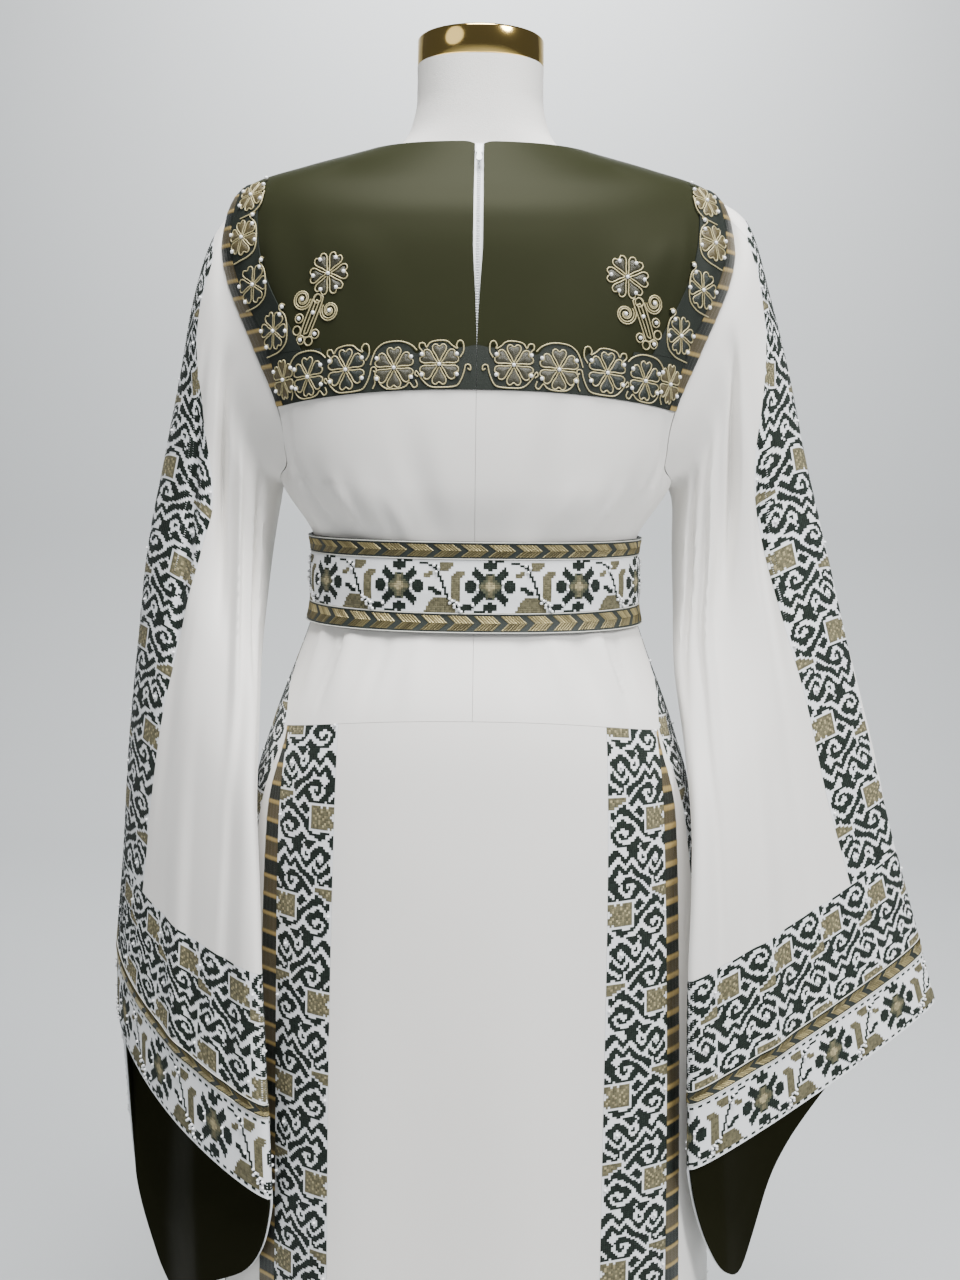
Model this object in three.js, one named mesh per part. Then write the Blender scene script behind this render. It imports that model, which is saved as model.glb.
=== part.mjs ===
// A long embroidered thobe with bell sleeves and its own belt, worn on a limbless dress form.
// +X is the wearer's right, the garment's back faces -Y, +Z is up, and the stand's base rests at z = 0.
// Every cloth piece is a thin wall on one of two surfaces: rings round the body, and rings round a sleeve.
import * as THREE from "three";

// ---- Cloth and trim, in millimetres ----
const CLOTH = 1.8; // wall of an outer panel
const LINING = 1.2; // wall of the sleeve's satin lining
const TRIM = 1; // wall of a ribbon or border sewn on a panel
const LINING_GAP = 0.8; // between the sleeve and its lining
const SEAM_GAP = 0.3; // between neighbouring pieces
const TRIM_GAP = 0.45; // between a panel and the trim on it
const SLEEVE_GAP = 0.8; // between a sleeve's pieces, whose walls turn sharply at its two folds
const CAP_GAP = 1.2; // beside the cap over the band, where the sleeve turns most
const CUFF_GAP = 1.2; // between the cuff's rings, which run steeply there
const ARMHOLE_GAP = 1.8; // between body and sleeve, whose walls meet at an angle
const BAND_WIDTH = 64; // cross-stitched band on skirt and sleeve
const RIBBON_WIDTH = 20; // striped ribbon beside the skirt's band
const ARMHOLE_RIBBON = 20; // striped ribbon on the yoke, down the back of the armhole
const PANEL_TOP = 118; // half of the skirt's centre back panel at the basque seam
const PANEL_HEM = 122; // and at the hem
const GORE_WIDTH = { left: 158, right: 192 }; // side gore at the hem
const GORE_POINT = 3; // side gore and ribbon where they begin, under the basque seam
const BORDER_PEAK = 40; // yoke border over a rosette
const BORDER_DIP = 28; // and between two rosettes
const BORDER_SIDE = 34; // yoke border beside that ribbon
const ROSETTES = 4; // along the yoke's hem, each side of the zip
const ZIP_OPEN = 6; // gap between the yoke halves at the neckline
const ZIP_TAPE = 22; // width of the tape behind the gap
const BELT_GAP = 2.2; // between the gathered cloth and the belt
const BELT_WALL = 2.5;
const BELT_RIBBON = 15; // ribbon along each edge of the belt
const SCALLOP = 0.7; // how full the border's scallops are, under 1 for round ones
const NOTCH = { half: 14, depth: 0.3 }; // dip of the neckline at the zip: half its width, and in ring numbers
const SIDE_SETBACK = 16; // front band's rear edge on the basque, behind the side

// ---- Rings round the body ----
// A ring is a rounded oval: its rear, side and front heights, its half width and its two depths.
const SQUARENESS = 2.35;
const RING = ["zBack", "zSide", "zFront", "halfWidth", "back", "front"];
const BODY = table(RING, [
  [22, 22, 22, 262, 203, 198], // hem
  [330, 330, 330, 237, 184, 177], // knee
  [650, 650, 650, 221, 171, 159], // thigh
  [830, 826, 830, 206, 160, 148], // hip
  [930, 907, 930, 185, 146, 128], // basque seam
  [1001, 1001, 1001, 150.5, 115, 107], // belt's lower edge
  [1040, 1040, 1040, 148, 113, 105], // waist
  [1079, 1079, 1079, 148.5, 114, 106], // belt's upper edge
  [1125, 1125, 1125, 177, 127, 116], // underarm
  [1205, 1186, 1205, 196, 131, 123], // yoke hem
  [1300, 1300, 1272, 229, 121, 109], // chest
  [1345, 1350, 1306, 227, 111, 100], // upper back
  [1371, 1384, 1327, 208, 99, 94], // shoulder point
  [1395, 1401, 1339, 160, 84, 89], // middle of the shoulder
  [1416, 1414, 1348, 107, 69, 85], // neckline
]);
const [BASQUE, BELT_LOW, WAIST, BELT_TOP] = [4, 5, 6, 7];
const [UNDERARM, YOKE_HEM, SHOULDER, NECKLINE] = [8, 9, 12, 14];

// Armhole: half its opening in degrees round from the side, at a height in ring numbers.
const ARMHOLE = table(["ring", "opening"], [
  [8, 0], [8.12, 15], [8.3, 23], [8.6, 29], [9, 31], [9.5, 26], [10, 19], [11, 12], [11.6, 8], [12, 0],
]);

// Folds: where round the body in degrees from the centre back, how wide, from which ring to which, how deep.
const BODY_FOLDS = table(["angle", "spread", "low", "high", "depth"], [
  [41, 7, 4, 5.3, 3.2], // pleats below the belt
  [52, 5, 4.1, 5.3, -2.6],
  [-40, 7, 4, 5.3, 3.2],
  [-50, 5, 4.1, 5.3, -2.6],
  [-58, 5, 4.2, 5.3, 2.6],
  [30, 8, 6.7, 8.4, 3], // gathers over the belt
  [48, 8, 6.7, 8.6, -3],
  [62, 7, 6.7, 8.2, 3],
  [-28, 8, 6.7, 8.4, 3],
  [-45, 8, 6.7, 8.6, -3],
  [-60, 7, 6.7, 8.2, 3],
  [70, 16, -1.5, 1.8, -7], // flare of the gores and the hem
  [98, 18, -1.5, 1.8, 6],
  [-70, 16, -1.5, 1.8, -7],
  [-98, 18, -1.5, 1.8, 6],
  [128, 18, -1.5, 3.2, -8],
  [154, 18, -1.5, 3.4, 8],
  [-128, 18, -1.5, 3.2, -8],
  [-154, 18, -1.5, 3.4, 8],
]);

// ---- Rings round a sleeve ----
// Each ring runs from an outer point down to an inner one; rear and front are its depths behind and before
// that line, bow swells it outwards, hug keeps its front close to the line beside the skirt, band is how far
// behind the outer point the embroidered band's middle lies, and spread its width along the slanting ring.
const CUFF_ROW = 8; // rings of the cuff: upper seam, ribbon's two edges, hem
const RIBBON_TOP = 9;
const RIBBON_LOW = 10;
const SLEEVE_HEM = 11;
const LINING_TOP = 7.2;
const HUG = { right: [0.05, 0.42], left: [0.2, 0.65] }; // where the front leaves the line beside the skirt
const HUG_LEAST = 0.2; // share of the front's depth that it keeps there
const BLUNT = 0.7; // how round a sleeve's section is at its two ends
const BAND_START = 0.9; // where the band begins below the shoulder
const SLEEVE = ["xOut", "yOut", "zOut", "xIn", "yIn", "zIn", "rear", "front", "bow", "hug", "band", "spread"];
const SLEEVES = {
  right: table(SLEEVE, [
    [214, 0, 1382, 179, 0, 1122, 45, 45, 8, 0, 4, 64],
    [240, 0, 1360, 183, 2, 1107, 54, 50, 9, 0, 14, 64],
    [263, 0, 1295, 183, -4, 1067, 50, 50, 6, 0, 25, 64],
    [283, 0, 1228, 184, -14, 1016, 44, 50, 4, 0.1, 54, 118],
    [302, 0, 1151, 184, -34, 961, 36, 50, 0, 0.3, 52, 104],
    [324, 0, 1073, 190, -66, 900, 28, 52, 0, 0.6, 52, 90],
    [350, 0, 980, 193, -100, 839, 22, 56, 0, 0.9, 48, 78],
    [378, 0, 883, 192, -120, 773, 20, 60, 0, 1, 49, 76],
    [404, 0, 785, 190, -130, 701, 20, 66, 0, 1, 43, 74],
    [430, 0, 700, 192, -132, 602, 22, 72, 0, 1, 40, 72],
    [434, 0, 685, 193, -132, 589, 22, 73, 0, 1, 40, 72],
    [449, 0, 637, 194, -133, 530, 24, 76, 0, 1, 38, 70],
  ]),
  left: table(SLEEVE, [
    [214, 0, 1380, 179, 0, 1122, 45, 45, 8, 0, 2, 64],
    [237, 0, 1342, 181, 2, 1107, 54, 50, 9, 0, 20, 64],
    [256, 4, 1289, 186, -6, 1072, 50, 50, 6, 0, 28, 64],
    [271, 9, 1222, 190, -18, 1030, 42, 50, 4, 0.1, 64, 126],
    [289, 14, 1144, 193, -40, 975, 34, 50, 0, 0.3, 58, 114],
    [307, 20, 1065, 190, -74, 920, 28, 50, 2, 0.6, 54, 98],
    [320, 27, 973, 187, -108, 852, 24, 52, 8, 0.9, 50, 88],
    [332, 33, 875, 182, -127, 778, 22, 56, 14, 1, 46, 92],
    [341, 38, 763, 179, -138, 706, 22, 60, 18, 1, 40, 94],
    [349, 40, 681, 174, -144, 591, 24, 64, 22, 1, 34, 90],
    [349, 40, 665, 173, -144, 578, 24, 64, 22, 1, 34, 90],
    [350, 40, 608, 170, -146, 505, 26, 66, 22, 1, 32, 88],
  ]),
};

// The front of each sleeve hangs lower: how far, at an angle round the sleeve from its outer point.
const DROP = {
  right: table(["angle", "drop"], [
    [180, 0], [190, 14], [202, 50], [214, 92], [226, 132], [238, 160], [247, 146], [257, 114], [270, 84],
    [300, 42], [330, 12], [360, 0],
  ]),
  left: table(["angle", "drop"], [
    [180, 0], [190, 20], [202, 56], [216, 92], [235, 130], [252, 168], [265, 218], [276, 246], [287, 250],
    [300, 234], [320, 204], [335, 172], [345, 125], [354, 54], [360, 0],
  ]),
};
const DROP_FROM = 2; // ring where the drop begins, growing to the cuff

const SLEEVE_FOLDS = {
  right: table(["angle", "spread", "low", "high", "depth"], [
    [112, 34, 0.4, 6, -12], // hollow from the armhole down the back of the sleeve
    [152, 26, 1.4, 9, 7],
    [236, 30, 1, 8, -8],
    [296, 34, 2, 11.5, 8],
  ]),
  left: table(["angle", "spread", "low", "high", "depth"], [
    [112, 34, 0.4, 6, -12],
    [150, 26, 1.4, 10, 7],
    [236, 30, 1, 8, -8],
    [300, 34, 2, 11.5, 8],
  ]),
};

// ---- Dress form and stand ----
const FORM = table(RING, [
  [812, 812, 812, 146, 106, 102],
  [820, 820, 820, 156, 116, 110],
  [860, 860, 860, 168, 130, 118],
  [915, 915, 915, 166, 130, 112],
  [975, 975, 975, 146, 112, 100],
  [1040, 1040, 1040, 134, 101, 94],
  [1110, 1110, 1110, 150, 110, 102],
  [1190, 1184, 1190, 172, 119, 112],
  [1280, 1280, 1260, 194, 110, 98],
  [1338, 1340, 1300, 200, 99, 90],
  [1362, 1375, 1318, 188, 88, 85],
  [1386, 1392, 1331, 148, 75, 81],
  [1409, 1406, 1344, 98, 62, 77],
  [1430, 1426, 1388, 68, 58, 66],
  [1452, 1452, 1440, 57.5, 56.5, 57.5],
  [1472, 1472, 1472, 56, 56, 56],
  [1491.2, 1491.2, 1491.2, 56, 56, 56],
]);
const CAP_TOP = 1516;
const CAP_RADIUS = 56;
const CAP_BEVEL = 2;
const POLE_RADIUS = 12.5;
const BASE_RADIUS = 165;
const BASE_HEIGHT = 14;

// ---- Zip slider and pull tab ----
const SLIDER = { width: 5, height: 9, depth: 3.4, z: 1404, off: 0.5, pinUp: 2 };
const PULL = { width: 5, length: 13, thickness: 1.2, overPin: 0.8, neck: 0.45, clear: 0.5 };

// ---- Materials ----
const WHITE = cloth(0xdedbd6, 0.85);
const BAND = cloth(0x8b8d80, 0.9);
const STRIPES = cloth(0x4d4a36, 0.6);
const CHEVRONS = cloth(0x6f6a45, 0.5);
const SATIN = cloth(0x3b3a20, 0.4);
const BORDER = cloth(0x4a4b35, 0.6);
const TAPE = cloth(0xf0f0ee, 0.7);
const LINEN = cloth(0xe6e2da, 0.9);
const GOLD = new THREE.MeshStandardMaterial({ color: 0xc9a24a, roughness: 0.15, metalness: 1 });
const METAL = new THREE.MeshStandardMaterial({ color: 0x55565a, roughness: 0.45, metalness: 0.8 });

function cloth(color, roughness) {
  return new THREE.MeshStandardMaterial({ color, roughness, metalness: 0 });
}

function table(columns, rows) {
  return rows.map((row) => Object.fromEntries(columns.map((column, i) => [column, row[i]])));
}

// ---- Interpolation ----
const clamp = THREE.MathUtils.clamp;
const mix = THREE.MathUtils.lerp;

function smooth(value, low, high) {
  return THREE.MathUtils.smoothstep(value, low, high);
}

// A smooth curve through a table's rows, at a fractional row number.
function between(rows, at) {
  const last = rows.length - 1;
  const i = clamp(Math.floor(at), 0, last - 1);
  const t = at - i;
  const four = [i - 1, i, i + 1, i + 2].map((k) => rows[clamp(k, 0, last)]);
  const result = {};
  for (const column of Object.keys(rows[0])) {
    result[column] = catmullRom(t, ...four.map((row) => row[column]));
  }
  return result;
}

function catmullRom(t, a, b, c, d) {
  const start = (c - a) / 2;
  const end = (d - b) / 2;
  return (2 * b - 2 * c + start + end) * t ** 3 + (3 * c - 3 * b - 2 * start - end) * t ** 2 + start * t + b;
}

// A smooth curve through a table of two columns, at a value of the first.
function curve(rows, key, value, at) {
  const i = clamp(rows.findIndex((row) => row[key] >= at), 1, rows.length - 1);
  const slope = (k) => {
    const [before, after] = [rows[Math.max(k - 1, 0)], rows[Math.min(k + 1, rows.length - 1)]];
    return (after[value] - before[value]) / (after[key] - before[key]);
  };
  const span = rows[i][key] - rows[i - 1][key];
  const t = clamp((at - rows[i - 1][key]) / span, 0, 1);
  const [start, end] = [slope(i - 1) * span, slope(i) * span];
  const rise = rows[i][value] - rows[i - 1][value];
  return rows[i - 1][value] + start * t + (3 * rise - 2 * start - end) * t ** 2 + (start + end - 2 * rise) * t ** 3;
}

// A straight-line look-up in a table of two columns.
function lookUp(rows, key, value, at) {
  const i = rows.findIndex((row) => row[key] >= at);
  if (i < 0) return rows[rows.length - 1][value];
  if (i === 0) return rows[0][value];
  const share = (at - rows[i - 1][key]) / (rows[i][key] - rows[i - 1][key]);
  return mix(rows[i - 1][value], rows[i][value], share);
}

// Sum of the soft folds at an angle and a ring number.
function foldDepth(folds, angle, level) {
  let depth = 0;
  for (const fold of folds) {
    const across = Math.abs(wrapAngle(angle - fold.angle)) / fold.spread;
    const along = (level - fold.low) / (fold.high - fold.low);
    if (across < 1 && along > 0 && along < 1) {
      depth += fold.depth * Math.cos((across * Math.PI) / 2) ** 2 * Math.sin(along * Math.PI) ** 2;
    }
  }
  return depth;
}

function wrapAngle(degrees) {
  return THREE.MathUtils.euclideanModulo(degrees + 180, 360) - 180;
}

// ---- The body's surface ----
// Angle 0 is the centre back, 90 the wearer's right side, 180 the centre front.
function ringPoint(row, degrees) {
  const turn = THREE.MathUtils.degToRad(degrees);
  const side = Math.sin(turn);
  const rear = Math.cos(turn);
  const power = 2 / SQUARENESS;
  const depth = rear > 0 ? row.back : row.front;
  const end = rear > 0 ? row.zBack : row.zFront;
  return new THREE.Vector3(
    row.halfWidth * Math.sign(side) * Math.abs(side) ** power,
    -depth * Math.sign(rear) * Math.abs(rear) ** power,
    row.zSide + (end - row.zSide) * rear ** 2,
  );
}

const ARC_STEP = 3; // degrees between the points that measure a ring
const arcTables = new Map();

// Distance along a ring from the centre back, for each step of angle up to the centre front.
function arcTable(level) {
  const key = level.toFixed(5);
  if (!arcTables.has(key)) {
    const row = between(BODY, level);
    const arcs = [{ angle: 0, arc: 0 }];
    let from = ringPoint(row, 0);
    for (let angle = ARC_STEP; angle <= 180; angle += ARC_STEP) {
      const to = ringPoint(row, angle);
      arcs.push({ angle, arc: arcs[arcs.length - 1].arc + from.distanceTo(to) });
      from = to;
    }
    arcTables.set(key, arcs);
  }
  return arcTables.get(key);
}

function arcAt(level, angle) {
  return lookUp(arcTable(level), "angle", "arc", angle);
}

function halfRound(level) {
  return arcAt(level, 180);
}

// A body point at a distance round from the centre back, positive to the wearer's right.
function bodyPoint(arc, level) {
  const half = halfRound(level);
  const past = Math.abs(arc) > half;
  const arcs = arcTable(level);
  const angle = lookUp(arcs, "arc", "angle", past ? 2 * half - Math.abs(arc) : Math.abs(arc));
  const signed = Math.sign(arc) * (past ? 360 - angle : angle);
  const point = ringPoint(between(BODY, level), signed);
  const outward = new THREE.Vector3(point.x, point.y, 0).normalize();
  return point.addScaledVector(outward, foldDepth(BODY_FOLDS, signed, level));
}

function armholeEdge(level, front = false) {
  const opening = level < UNDERARM || level > SHOULDER ? 0 : curve(ARMHOLE, "ring", "opening", level);
  return arcAt(level, front ? 90 + opening : 90 - opening);
}

// ---- A sleeve's surface ----
// Angle 0 is the outer edge, 90 the back, 180 the underarm side, 270 the front.
const LOOP_STEPS = 48;

// The armhole as a loop from the shoulder down the back edge, or down the front one, with its distances.
function armholeLoop(front) {
  const loop = [];
  let length = 0;
  for (let k = 0; k <= LOOP_STEPS; k += 1) {
    const level = mix(SHOULDER, UNDERARM, k / LOOP_STEPS);
    const point = bodyPoint(armholeEdge(level, front), level);
    if (k > 0) length += point.distanceTo(loop[k - 1].point);
    loop.push({ point, length });
  }
  return loop;
}

const LOOPS = { rear: armholeLoop(false), front: armholeLoop(true) };

function loopPoint(degrees) {
  const rear = degrees <= 180;
  const loop = rear ? LOOPS.rear : LOOPS.front;
  const turn = THREE.MathUtils.degToRad(rear ? degrees : 360 - degrees);
  const wanted = (loop[LOOP_STEPS].length * (1 - Math.cos(turn))) / 2;
  const i = clamp(loop.findIndex((entry) => entry.length >= wanted), 1, LOOP_STEPS);
  const share = (wanted - loop[i - 1].length) / (loop[i].length - loop[i - 1].length);
  return loop[i - 1].point.clone().lerp(loop[i].point, share);
}

// A right-hand sleeve's ring; the left one is mirrored afterwards.
function sleeveRing(side, row, degrees) {
  if (row === 0) return loopPoint(degrees);
  const r = SLEEVES[side][row];
  const turn = THREE.MathUtils.degToRad(degrees);
  const along = (1 + Math.cos(turn)) / 2;
  const across = Math.abs(Math.sin(turn)) ** BLUNT;
  const hug = mix(1, Math.max(smooth(along, ...HUG[side]), HUG_LEAST), r.hug);
  const front = degrees > 180;
  const depth = front ? r.front * across * hug : -r.rear * across;
  const drop = front ? curve(DROP[side], "angle", "drop", degrees) * smooth(row, DROP_FROM, CUFF_ROW) : 0;
  return new THREE.Vector3(
    mix(r.xIn, r.xOut, along) + r.bow * Math.sin(turn) ** 2,
    mix(r.yIn, r.yOut, along) + depth,
    mix(r.zIn, r.zOut, along) - drop,
  );
}

function sleevePoint(side, degrees, level) {
  const angle = THREE.MathUtils.euclideanModulo(degrees, 360);
  const i = clamp(Math.floor(level), 0, SLEEVE_HEM - 1);
  const four = [i - 1, i, i + 1, i + 2].map((k) => sleeveRing(side, clamp(k, 0, SLEEVE_HEM), angle));
  const point = new THREE.Vector3(
    catmullRom(level - i, ...four.map((p) => p.x)),
    catmullRom(level - i, ...four.map((p) => p.y)),
    catmullRom(level - i, ...four.map((p) => p.z)),
  );
  const turn = THREE.MathUtils.degToRad(angle);
  const outward = new THREE.Vector3(Math.cos(turn) / 2, -Math.sin(turn), 0).normalize();
  point.addScaledVector(outward, foldDepth(SLEEVE_FOLDS[side], angle, level));
  return side === "right" ? point : point.setX(-point.x);
}

// The angle that lies a given distance behind the outer edge, measured round the ring.
function sleeveAngle(side, distance, level) {
  const step = 2 * Math.sign(distance);
  let angle = 0;
  let walked = 0;
  let from = sleevePoint(side, 0, level);
  while (walked < Math.abs(distance)) {
    const to = sleevePoint(side, angle + step, level);
    const length = from.distanceTo(to);
    if (walked + length > Math.abs(distance)) {
      return angle + (step * (Math.abs(distance) - walked)) / length;
    }
    walked += length;
    angle += step;
    from = to;
  }
  return angle;
}

// The two edges of the sleeve's band.
function bandEdges(side, level) {
  const { band: centre, spread } = between(SLEEVES[side], level);
  return {
    rear: sleeveAngle(side, centre + spread / 2, level),
    front: sleeveAngle(side, centre - spread / 2, level),
  };
}

// ---- Walls ----
// surface(p, q) gives a point for p and q in 0..1, with p x q pointing out of the cloth when facing is 1.
const NUDGE = 1e-3;

function normalAt(surface, p, q, facing) {
  const p1 = Math.min(p + NUDGE, 1);
  const q1 = Math.min(q + NUDGE, 1);
  const across = surface(p1, q).sub(surface(p1 - NUDGE, q));
  const up = surface(p, q1).sub(surface(p, q1 - NUDGE));
  return across.cross(up).normalize().multiplyScalar(facing);
}

// A closed wall: its outer skin is `lift` off the surface, its inner skin `thick` below that.
function wall(name, material, surface, options) {
  const { columns, rows, facing = 1, lift = 0, thick = CLOTH, closed = false } = options;
  const across = closed ? columns : columns + 1;
  const down = rows.length;
  const points = [];
  for (const below of [0, thick]) {
    for (let j = 0; j < down; j += 1) {
      for (let i = 0; i < across; i += 1) {
        const p = i / columns;
        const normal = normalAt(surface, p, rows[j], facing);
        points.push(surface(p, rows[j]).addScaledVector(normal, lift - below));
      }
    }
  }
  const at = (layer, j, i) => layer * across * down + j * across + (closed ? i % across : i);
  const faces = [];
  const quad = (a, b, c, d) => {
    if (facing > 0) faces.push(a, b, c, a, c, d);
    else faces.push(c, b, a, d, c, a);
  };
  for (let j = 0; j + 1 < down; j += 1) {
    for (let i = 0; i < columns; i += 1) {
      quad(at(0, j, i), at(0, j, i + 1), at(0, j + 1, i + 1), at(0, j + 1, i));
      quad(at(1, j, i), at(1, j + 1, i), at(1, j + 1, i + 1), at(1, j, i + 1));
    }
    if (!closed) {
      quad(at(1, j, 0), at(0, j, 0), at(0, j + 1, 0), at(1, j + 1, 0));
      quad(at(0, j, columns), at(1, j, columns), at(1, j + 1, columns), at(0, j + 1, columns));
    }
  }
  for (let i = 0; i < columns; i += 1) {
    quad(at(1, 0, i), at(1, 0, i + 1), at(0, 0, i + 1), at(0, 0, i));
    quad(at(0, down - 1, i), at(0, down - 1, i + 1), at(1, down - 1, i + 1), at(1, down - 1, i));
  }
  return solid(name, material, points, faces);
}

function solid(name, material, points, faces) {
  const geometry = new THREE.BufferGeometry().setFromPoints(points);
  geometry.setIndex(faces);
  geometry.computeVertexNormals();
  const mesh = new THREE.Mesh(geometry, material);
  mesh.name = name;
  return mesh;
}

function steps(count) {
  return Array.from({ length: count + 1 }, (_, i) => i / count);
}

// ---- Panels on the body ----
// left and right give the panel's edges as distances round from the centre back, at a ring number.
function bodyPanel(name, material, left, right, levels, columns, options = {}) {
  const low = levels[0];
  const high = levels[levels.length - 1];
  const top = options.top ?? (() => high);
  const surface = (p, q) => {
    const from = left(low + q * (high - low)) + SEAM_GAP / 2;
    const to = right(low + q * (high - low)) - SEAM_GAP / 2;
    const start = low + SEAM_GAP / 2 / heightOf(low);
    const end = top(mix(from, to, p)) - SEAM_GAP / 2 / heightOf(high);
    const level = start + q * (end - start);
    return bodyPoint(mix(left(level) + SEAM_GAP / 2, right(level) - SEAM_GAP / 2, p), level);
  };
  const rows = levels.map((level) => (level - low) / (high - low));
  return wall(name, material, surface, { columns, rows, ...options });
}

// Millimetres of height to one ring number, at the centre back or the side, whichever is less.
const LEAST_HEIGHT = 12;

function heightOf(level) {
  const [below, above] = [Math.max(level - 0.05, 0), level + 0.05];
  const rise = (column) => Math.abs(between(BODY, above)[column] - between(BODY, below)[column]);
  return Math.max(Math.min(rise("zBack"), rise("zSide")) / (above - below), LEAST_HEIGHT);
}

// The same panel on the wearer's left, its edges mirrored.
function mirrored(name, material, left, right, levels, columns, options = {}) {
  const top = options.top;
  const flipped = top ? { ...options, top: (arc) => top(-arc) } : options;
  return bodyPanel(name, material, (v) => -right(v), (v) => -left(v), levels, columns, flipped);
}

const centreSeam = () => 0;
const panelEdge = (level) => mix(PANEL_HEM, PANEL_TOP, clamp(level / BASQUE, 0, 1));
const bandEdge = (level) => panelEdge(level) + BAND_WIDTH;
const ribbonEdge = (level) => {
  const full = 1 - smooth(level, BASQUE - 1, BASQUE);
  return bandEdge(level) + mix(GORE_POINT, RIBBON_WIDTH, full);
};

// The rear edge of the front band: past the gore on the skirt, near the side on the basque.
function frontBandEdge(level, gore) {
  const open = 1 - clamp(between(BODY, Math.min(level, BASQUE)).zSide / BODY[BASQUE].zSide, 0, 1);
  const skirt = ribbonEdge(Math.min(level, BASQUE)) + GORE_POINT + gore * open;
  if (level <= BASQUE) return skirt;
  const waist = arcAt(level, 90) - SIDE_SETBACK;
  return mix(skirt, waist, smooth(level, BASQUE, BELT_LOW));
}

const SKIRT_LEVELS = [0, 0.4, 0.8, 1.2, 1.6, 2, 2.4, 2.8, 3.2, 3.6, 4];
const BASQUE_LEVELS = [4, 4.3, 4.6, 5, 5.5, 6];
const BODICE_LEVELS = [6, 6.5, 7, 7.5, 8, 8.06, 8.12, 8.3, 8.6, 9];
const YOKE_LEVELS = [9, 9.42, 10, 10.5, 11, 11.4, 11.7, 12, 12.5, 13, 13.5, 14];

function skirt(group) {
  const levels = SKIRT_LEVELS;
  const whole = [...SKIRT_LEVELS, ...BASQUE_LEVELS.slice(1)];
  group.add(bodyPanel("skirt_back", WHITE, (v) => -panelEdge(v), panelEdge, levels, 8));
  for (const [side, panel] of [["right", bodyPanel], ["left", mirrored]]) {
    const front = (v) => frontBandEdge(v, GORE_WIDTH[side]);
    const beyond = (v) => front(v) + BAND_WIDTH;
    group.add(panel(`skirt_band_back_${side}`, BAND, panelEdge, bandEdge, levels, 3));
    group.add(panel(`skirt_ribbon_${side}`, STRIPES, bandEdge, ribbonEdge, levels, 1));
    group.add(panel(`skirt_gore_${side}`, WHITE, ribbonEdge, front, levels, 4));
    group.add(panel(`skirt_band_front_${side}`, BAND, front, beyond, whole, 3));
    group.add(panel(`basque_back_${side}`, WHITE, centreSeam, front, BASQUE_LEVELS, 8));
  }
  const start = (v) => frontBandEdge(v, GORE_WIDTH.right) + BAND_WIDTH;
  const end = (v) => 2 * halfRound(v) - frontBandEdge(v, GORE_WIDTH.left) - BAND_WIDTH;
  group.add(bodyPanel("skirt_front", WHITE, start, end, whole, 16));
}

function bodice(group) {
  const edge = (v) => armholeEdge(v) - inset(v);
  const frontStart = (v) => armholeEdge(v, true) + inset(v);
  const frontEnd = (v) => 2 * halfRound(v) - frontStart(v);
  group.add(bodyPanel("back_bodice_right", WHITE, centreSeam, edge, BODICE_LEVELS, 8));
  group.add(mirrored("back_bodice_left", WHITE, centreSeam, edge, BODICE_LEVELS, 8));
  group.add(bodyPanel("front_bodice", WHITE, frontStart, frontEnd, BODICE_LEVELS, 14));
  const top = (arc) => NECKLINE - NOTCH.depth * clamp(1 - Math.abs(arc) / NOTCH.half, 0, 1) ** 2;
  const yoke = { top };
  group.add(bodyPanel("back_yoke_right", SATIN, zipEdge, edge, YOKE_LEVELS, 10, yoke));
  group.add(mirrored("back_yoke_left", SATIN, zipEdge, edge, YOKE_LEVELS, 10, yoke));
  group.add(bodyPanel("front_yoke", SATIN, frontStart, frontEnd, YOKE_LEVELS, 14));
  yokeTrim(group, edge);
}

function inset(level) {
  return level > UNDERARM && level < SHOULDER ? (ARMHOLE_GAP - SEAM_GAP) / 2 : 0;
}

// Half the gap over the zip, from nothing above the border to its full width at the neckline.
function zipEdge(level) {
  return (ZIP_OPEN / 2) * smooth(level, YOKE_HEM + 0.2, NECKLINE);
}

// The border lies on the yoke: a scalloped strip along the hem and one beside the armhole's striped ribbon.
function yokeTrim(group, edge) {
  const perRing = heightOf(YOKE_HEM + 0.3);
  const inside = (v) => edge(v) - ARMHOLE_RIBBON;
  const corner = inside(YOKE_HEM) - BORDER_SIDE;
  const scallop = (arc) => {
    const wave = Math.abs(Math.sin((ROSETTES * Math.PI * Math.min(Math.abs(arc), corner)) / corner));
    const height = Math.abs(arc) > corner ? BORDER_PEAK : mix(BORDER_DIP, BORDER_PEAK, wave ** SCALLOP);
    return YOKE_HEM + height / perRing;
  };
  const over = { lift: TRIM_GAP + TRIM, thick: TRIM };
  const hemLevels = [YOKE_HEM, YOKE_HEM + 0.21, YOKE_HEM + 0.42];
  const hem = { ...over, top: scallop };
  const sideStart = YOKE_HEM + BORDER_PEAK / perRing;
  const sideLevels = steps(14).map((share) => mix(sideStart, SHOULDER, share));
  const ribbonLevels = steps(14).map((share) => mix(YOKE_HEM, SHOULDER, share));
  const inner = (v) => inside(v) - BORDER_SIDE;
  const outer = (v) => inside(v) - SEAM_GAP;
  const end = (v) => edge(v) - ARMHOLE_GAP;
  for (const [side, panel] of [["right", bodyPanel], ["left", mirrored]]) {
    group.add(panel(`yoke_border_hem_${side}`, BORDER, zipEdge, inside, hemLevels, 24, hem));
    group.add(panel(`yoke_border_side_${side}`, BORDER, inner, outer, sideLevels, 4, over));
    group.add(panel(`armhole_ribbon_${side}`, STRIPES, inside, end, ribbonLevels, 3, over));
  }
}

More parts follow.
